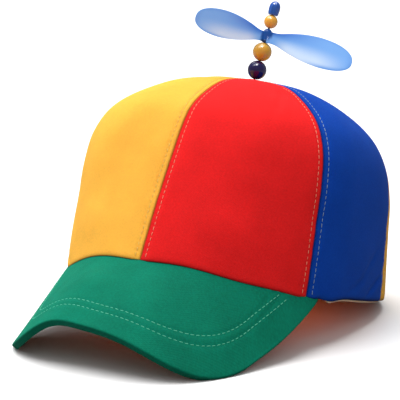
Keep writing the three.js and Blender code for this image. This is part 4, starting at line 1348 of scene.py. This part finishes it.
class BEANIE_OT_crown(bpy.types.Operator):
    """Build the crown's six cloth panels"""

    bl_idname = "beanie.crown"
    bl_label = "Crown Panels"

    def execute(self, context):
        cloth = setting("cloth")
        seams = seam_angles()
        materials = {}
        for panel in PANELS:
            slot = panel["slot"]
            if slot not in materials:
                label = slot.replace("_", " ").title()
                # Cloth with a strong painted shade by its hem and seams
                materials[slot] = cloth_material(label, getattr(cloth, slot), painted_edge_shade=0.9)
            outer, inner, place = panel_faces(*(seams[number] for number in panel["seams"]))
            rows, columns = outer.shape[:2]
            points = cap_to_row(np.concatenate([outer.reshape(-1, 3), inner.reshape(-1, 3)]))
            grain = np.tile(place.reshape(-1, 3) * (1, 1, 0), (2, 1))
            # The painted shade mask, carried in the edge attribute
            shade = np.tile(place[..., 2].ravel(), 2)
            name = panel["node"].replace("panel", "cloth")
            add_piece(name, points, [shell_faces(rows, columns)], "cap", slot, materials[slot],
                      [panel["node"]], {"cloth": grain, "edge": shade})
        return {"FINISHED"}


class BEANIE_OT_topstitching(bpy.types.Operator):
    """Sew the rows of topstitching beside the crown's seams"""

    bl_idname = "beanie.topstitching"
    bl_label = "Topstitching"

    def execute(self, context):
        cloth = setting("cloth")
        seams = seam_angles()
        materials = {}
        for panel in PANELS:
            slot = panel["slot"]
            if slot not in materials:
                thread = slot.replace("cloth", "thread")
                materials[slot] = thread_material(thread.replace("_", " ").title(), getattr(cloth, thread))
            paths = [panel_stitch_path(seams[number], side) for number, side in zip(panel["seams"], (1, -1))]
            name = panel["node"].replace("panel", "topstitch")
            add_piece(name, *sewn_rows(paths), "cap", slot, materials[slot])
        return {"FINISHED"}


class BEANIE_OT_visor(bpy.types.Operator):
    """Build the visor with its two rows of stitching"""

    bl_idname = "beanie.visor"
    bl_label = "Visor"

    def execute(self, context):
        cloth = setting("cloth")
        loop, place = visor_points()
        # The last number is the strength of the painted shade on the visor's edge
        material = cloth_material("Green Cloth", cloth.green_cloth, 0.6, 0.6, 0.25)
        grain = place.reshape(-1, 3) * (1, 1, 0)
        add_piece("visor_cloth", cap_to_row(loop.reshape(-1, 3)), tube_faces(*loop.shape[:2]), "cap",
                  "green_cloth", material, ["visor"], {"cloth": grain, "edge": place[..., 2].ravel()})
        thread = thread_material("Green Thread", cloth.green_thread)
        paths = [visor_stitch_path(*insets, under) for insets in stitch_rows() for under in (False, True)]
        add_piece("visor_stitching", *sewn_rows(paths), "cap", "green_cloth", thread)
        return {"FINISHED"}


class BEANIE_OT_sweatband(bpy.types.Operator):
    """Build the sweatband inside the hem"""

    bl_idname = "beanie.sweatband"
    bl_label = "Sweatband"

    def execute(self, context):
        loop, place = sweatband_points()
        sections, around = loop.shape[:2]
        faces = grid_faces(sections, around, wrap_rows=True, wrap_columns=True)
        material = cloth_material("Peach Cloth", setting("cloth").peach_cloth, 0.8, 0.1)
        add_piece("sweatband_tape", cap_to_row(loop.reshape(-1, 3)), [faces], "cap", "peach_cloth", material,
                  ["sweatband"], {"cloth": place.reshape(-1, 3)})
        return {"FINISHED"}


class BEANIE_OT_stem(bpy.types.Operator):
    """Finish the stem's wire, which keeps its own shape"""

    bl_idname = "beanie.stem"
    bl_label = "Stem"

    def execute(self, context):
        stem = frame["nodes"]["stem"]
        stem.data.materials.clear()
        stem.data.materials.append(wire_material())
        return {"FINISHED"}


class BEANIE_OT_beads(bpy.types.Operator):
    """Build the round beads and the faceted end bead"""

    bl_idname = "beanie.beads"
    bl_label = "Beads"

    def round_bead(self, name, radius, place, slot, material):
        """A sphere with a bore: radius times the sine and cosine of a sweep that starts at the bore."""
        start = math.asin(bore_radius() / radius)
        sweep = np.linspace(start, math.pi - start, ROUND_ROWS)
        points = stem_to_row(lathe(radius * np.sin(sweep), place - radius * np.cos(sweep)))
        faces = grid_faces(ROUND_ROWS, ROUND_SIDES, wrap_rows=True, wrap_columns=True)
        add_piece(name + "_finish", points, [faces], "cap", slot, material, [name])

    def end_bead(self, place, material):
        """The end bead: its table's outline times a shape with flat sides and soft corners, and a bore."""
        stem = setting("stem")
        sides = BEAD_CORNERS * SIDES_BY_CORNER
        inside = (np.arange(sides) / SIDES_BY_CORNER) % 1 - 0.5
        flat = math.cos(math.pi / BEAD_CORNERS) / np.cos(inside * 2 * math.pi / BEAD_CORNERS)
        facets = FACET_SHARE * flat + (1 - FACET_SHARE)
        rings = table_rings(TOP_BEAD_PROFILE, stem.top_radius, place, stem.top_height)
        outline = lathe(*rings, sides, facets)
        hole = lathe([bore_radius()] * 2, [place + stem.top_bore_depth, place], sides)
        points = np.concatenate([hole, outline])
        add_piece("top_blue_bead_finish", stem_to_row(points.reshape(-1, 3)), tube_faces(len(points), sides),
                  "cap", "blue_plastic", material, ["top_blue_bead"])

    def execute(self, context):
        stem = setting("stem")
        plastic = setting("plastic")
        gap = setting("crown").gap
        navy_place = (stem.large_bead + gap) * np.linalg.norm(stem_lean())
        lower_yellow_place = navy_place + 2 * stem.large_bead + gap
        amber_place = hub_place() + stem.hub_height + stem.hub_play + stem.small_bead
        navy = plastic_material("Navy Plastic", plastic.navy, 0.16, 0.25)
        # The lower bead's yellow, darkened as painted shade
        shaded_yellow = plastic_material("Shaded Yellow Plastic", plastic.shaded_yellow, 0.26, 0.6, 0.25)
        amber = plastic_material("Amber Plastic", plastic.amber, 0.3, 0.4)
        blue = plastic_material("Blue Plastic", plastic.blue, 0.2, 0.6)
        touching = stem.large_bead + gap / 2
        self.round_bead("lower_navy_bead", touching, navy_place, "navy_plastic", navy)
        self.round_bead("lower_yellow_bead", touching, lower_yellow_place, "yellow_plastic", shaded_yellow)
        self.round_bead("upper_yellow_bead", stem.small_bead + gap, amber_place, "yellow_plastic", amber)
        self.end_bead(amber_place + stem.small_bead + gap, blue)
        return {"FINISHED"}


class BEANIE_OT_propeller(bpy.types.Operator):
    """Build the propeller: a hub and two twisted blades, joined into one body"""

    bl_idname = "beanie.propeller"
    bl_label = "Propeller"

    def scratch_tube(self, name, points):
        """A plain closed tube in the stem's frame, for joining."""
        return new_object(name, new_mesh(name, points, tube_faces(*points.shape[:2])))

    def execute(self, context):
        stem = setting("stem")
        rings = table_rings(HUB_PROFILE, stem.collar_radius, hub_place(), stem.hub_height)
        hub = self.scratch_tube("hub", lathe(*rings))
        left = blade_points(stem.left_length, stem.left_width, stem.heading)
        right = blade_points(stem.right_length, stem.right_width, stem.heading + math.pi)
        ends = [hub_place() - stem.hub_height, hub_place() + 2 * stem.hub_height]
        hole = self.scratch_tube("hole", lathe([bore_radius()] * 2, ends))
        tools = [("UNION", self.scratch_tube("blade", blade)) for blade in (left, right)]
        tools.append(("DIFFERENCE", hole))
        for operation, tool in tools:
            modifier = hub.modifiers.new(operation, "BOOLEAN")
            modifier.operation = operation
            modifier.solver = "EXACT"
            modifier.object = tool
        depsgraph = context.evaluated_depsgraph_get()
        joined = bpy.data.meshes.new_from_object(hub.evaluated_get(depsgraph))
        points = np.zeros(len(joined.vertices) * 3)
        joined.vertices.foreach_get("co", points)
        points = points.reshape(-1, 3)
        faces = [np.array([list(face.vertices)]) for face in joined.polygons]
        for scratch in [hub] + [tool for _, tool in tools]:
            bpy.data.objects.remove(scratch)
        add_piece("propeller_plastic", stem_to_row(points), faces, "propeller", "sky_plastic",
                  propeller_material(), ["propeller"], blade_tints(points))
        return {"FINISHED"}


class BEANIE_OT_stage(bpy.types.Operator):
    """Set the camera, the pale floor and the soft light"""

    bl_idname = "beanie.stage"
    bl_label = "Stage"

    def add_facing(self, name, data, place, aim):
        """A light's or a camera's object at a place, which faces a point."""
        made = new_object(name, data)
        made.location = place
        made.rotation_mode = "QUATERNION"
        made.rotation_quaternion = (Vector(aim) - Vector(place)).to_track_quat("-Z", "Y")
        return made

    def add_light(self, name, kind, place, aim, settings):
        """A light of the given kind and settings that faces a point."""
        light = bpy.data.lights.new(name, kind)
        for key, value in settings.items():
            setattr(light, key, value)
        made = self.add_facing(name, light, place, aim)
        made.visible_glossy = name in ("key", "spark")
        made.visible_diffuse = name != "spark"

    def execute(self, context):
        stage = setting("stage")
        scene = context.scene
        back = Vector((math.sin(stage.azimuth) * math.cos(stage.elevation),
                       -math.cos(stage.azimuth) * math.cos(stage.elevation), math.sin(stage.elevation)))
        aim = Vector(stage.target)
        camera = bpy.data.cameras.new("camera")
        camera.lens = stage.lens
        camera.sensor_width = SENSOR_WIDTH
        scene.camera = self.add_facing("camera", camera, aim + back * stage.distance, aim)
        mesh = bpy.data.meshes.new("floor")
        corners = [(-FLOOR_HALF, -FLOOR_HALF, 0), (FLOOR_HALF, -FLOOR_HALF, 0),
                   (FLOOR_HALF, FLOOR_HALF, 0), (-FLOOR_HALF, FLOOR_HALF, 0)]
        mesh.from_pydata(corners, [], [(0, 1, 2, 3)])
        material, nodes, shader = new_material("Pale Floor")
        place = nodes.add("ShaderNodeTexCoord").outputs["Object"]
        cloud = nodes.maths("MULTIPLY_ADD", nodes.noise(place, 3.0), 0.02, 0.99)
        seen = nodes.add("ShaderNodeLightPath").outputs["Is Camera Ray"]
        pale = nodes.mix(seen, (*stage.floor_glow, 1), (*stage.floor, 1))
        nodes.surface(shader, pale, cloud, None, {"Roughness": 0.7, "Specular IOR Level": 0.2})
        mesh.materials.append(material)
        new_object("floor", mesh)
        world = bpy.data.worlds.new("studio")
        world.use_nodes = True
        background = world.node_tree.nodes["Background"]
        background.inputs["Color"].default_value = (1, 1, 1, 1)
        background.inputs["Strength"].default_value = stage.sky
        scene.world = world
        right = Vector((math.cos(stage.azimuth), math.sin(stage.azimuth), 0))
        turn = stage.azimuth - stage.key_turn
        flat = Vector((math.sin(turn), -math.cos(turn), 0)) * math.cos(stage.key_height)
        toward = flat + Vector((0, 0, math.sin(stage.key_height)))
        self.add_light("key", "SUN", aim + toward, aim, {"energy": stage.key, "angle": stage.key_spread})
        beside = aim + back + right * FILL_RIGHT + Vector((0, 0, FILL_RISE))
        self.add_light("fill", "AREA", beside, aim, {"energy": stage.fill, "size": FILL_SIZE})
        side_turn = stage.azimuth - stage.side_turn
        low = aim + Vector((math.sin(side_turn), -math.cos(side_turn), SIDE_RISE))
        self.add_light("side", "AREA", low, aim, {"energy": stage.side, "size": SIDE_SIZE})
        over = aim + Vector((0, 0, SPARK_RISE)) + back * SPARK_BACK
        self.add_light("spark", "AREA", over, aim, {"energy": stage.spark, "size": SPARK_SIZE})
        warm = {"energy": stage.glow, "size": GLOW_SIZE, "color": GLOW_COLOUR}
        self.add_light("glow", "AREA", Vector(GLOW_PLACE), Vector(), warm)
        scene.view_settings.view_transform = "Standard"
        return {"FINISHED"}


class BEANIE_PT_sidebar(bpy.types.Panel):
    """Lists the beanie's operators and settings"""

    bl_label = "Propeller Beanie"
    bl_idname = "BEANIE_PT_sidebar"
    bl_space_type = "VIEW_3D"
    bl_region_type = "UI"
    bl_category = "Beanie"

    def draw(self, context):
        for operator in OPERATORS:
            self.layout.operator(operator.bl_idname)
        for name, group in SETTINGS.items():
            box = self.layout.box()
            box.label(text=group.__doc__)
            for key in group.__annotations__:
                box.prop(getattr(context.scene, name), key)


OPERATORS = [
    BEANIE_OT_crown,
    BEANIE_OT_topstitching,
    BEANIE_OT_visor,
    BEANIE_OT_sweatband,
    BEANIE_OT_stem,
    BEANIE_OT_beads,
    BEANIE_OT_propeller,
    BEANIE_OT_stage,
]


def register():
    """Register the settings, the operators and the panel."""
    for name, group in SETTINGS.items():
        bpy.utils.register_class(group)
        setattr(bpy.types.Scene, name, PointerProperty(type=group))
    for operator in OPERATORS:
        bpy.utils.register_class(operator)
    bpy.utils.register_class(BEANIE_PT_sidebar)


def unregister():
    """Take away the panel, the operators and the settings."""
    bpy.utils.unregister_class(BEANIE_PT_sidebar)
    for operator in reversed(OPERATORS):
        bpy.utils.unregister_class(operator)
    for name, group in SETTINGS.items():
        delattr(bpy.types.Scene, name)
        bpy.utils.unregister_class(group)


def main():
    """Register the classes, and build every piece and the stage."""
    register()
    bpy.ops.beanie.crown()
    bpy.ops.beanie.topstitching()
    bpy.ops.beanie.visor()
    bpy.ops.beanie.sweatband()
    bpy.ops.beanie.stem()
    bpy.ops.beanie.beads()
    bpy.ops.beanie.propeller()
    bpy.ops.beanie.stage()


if __name__ == "__main__":
    main()
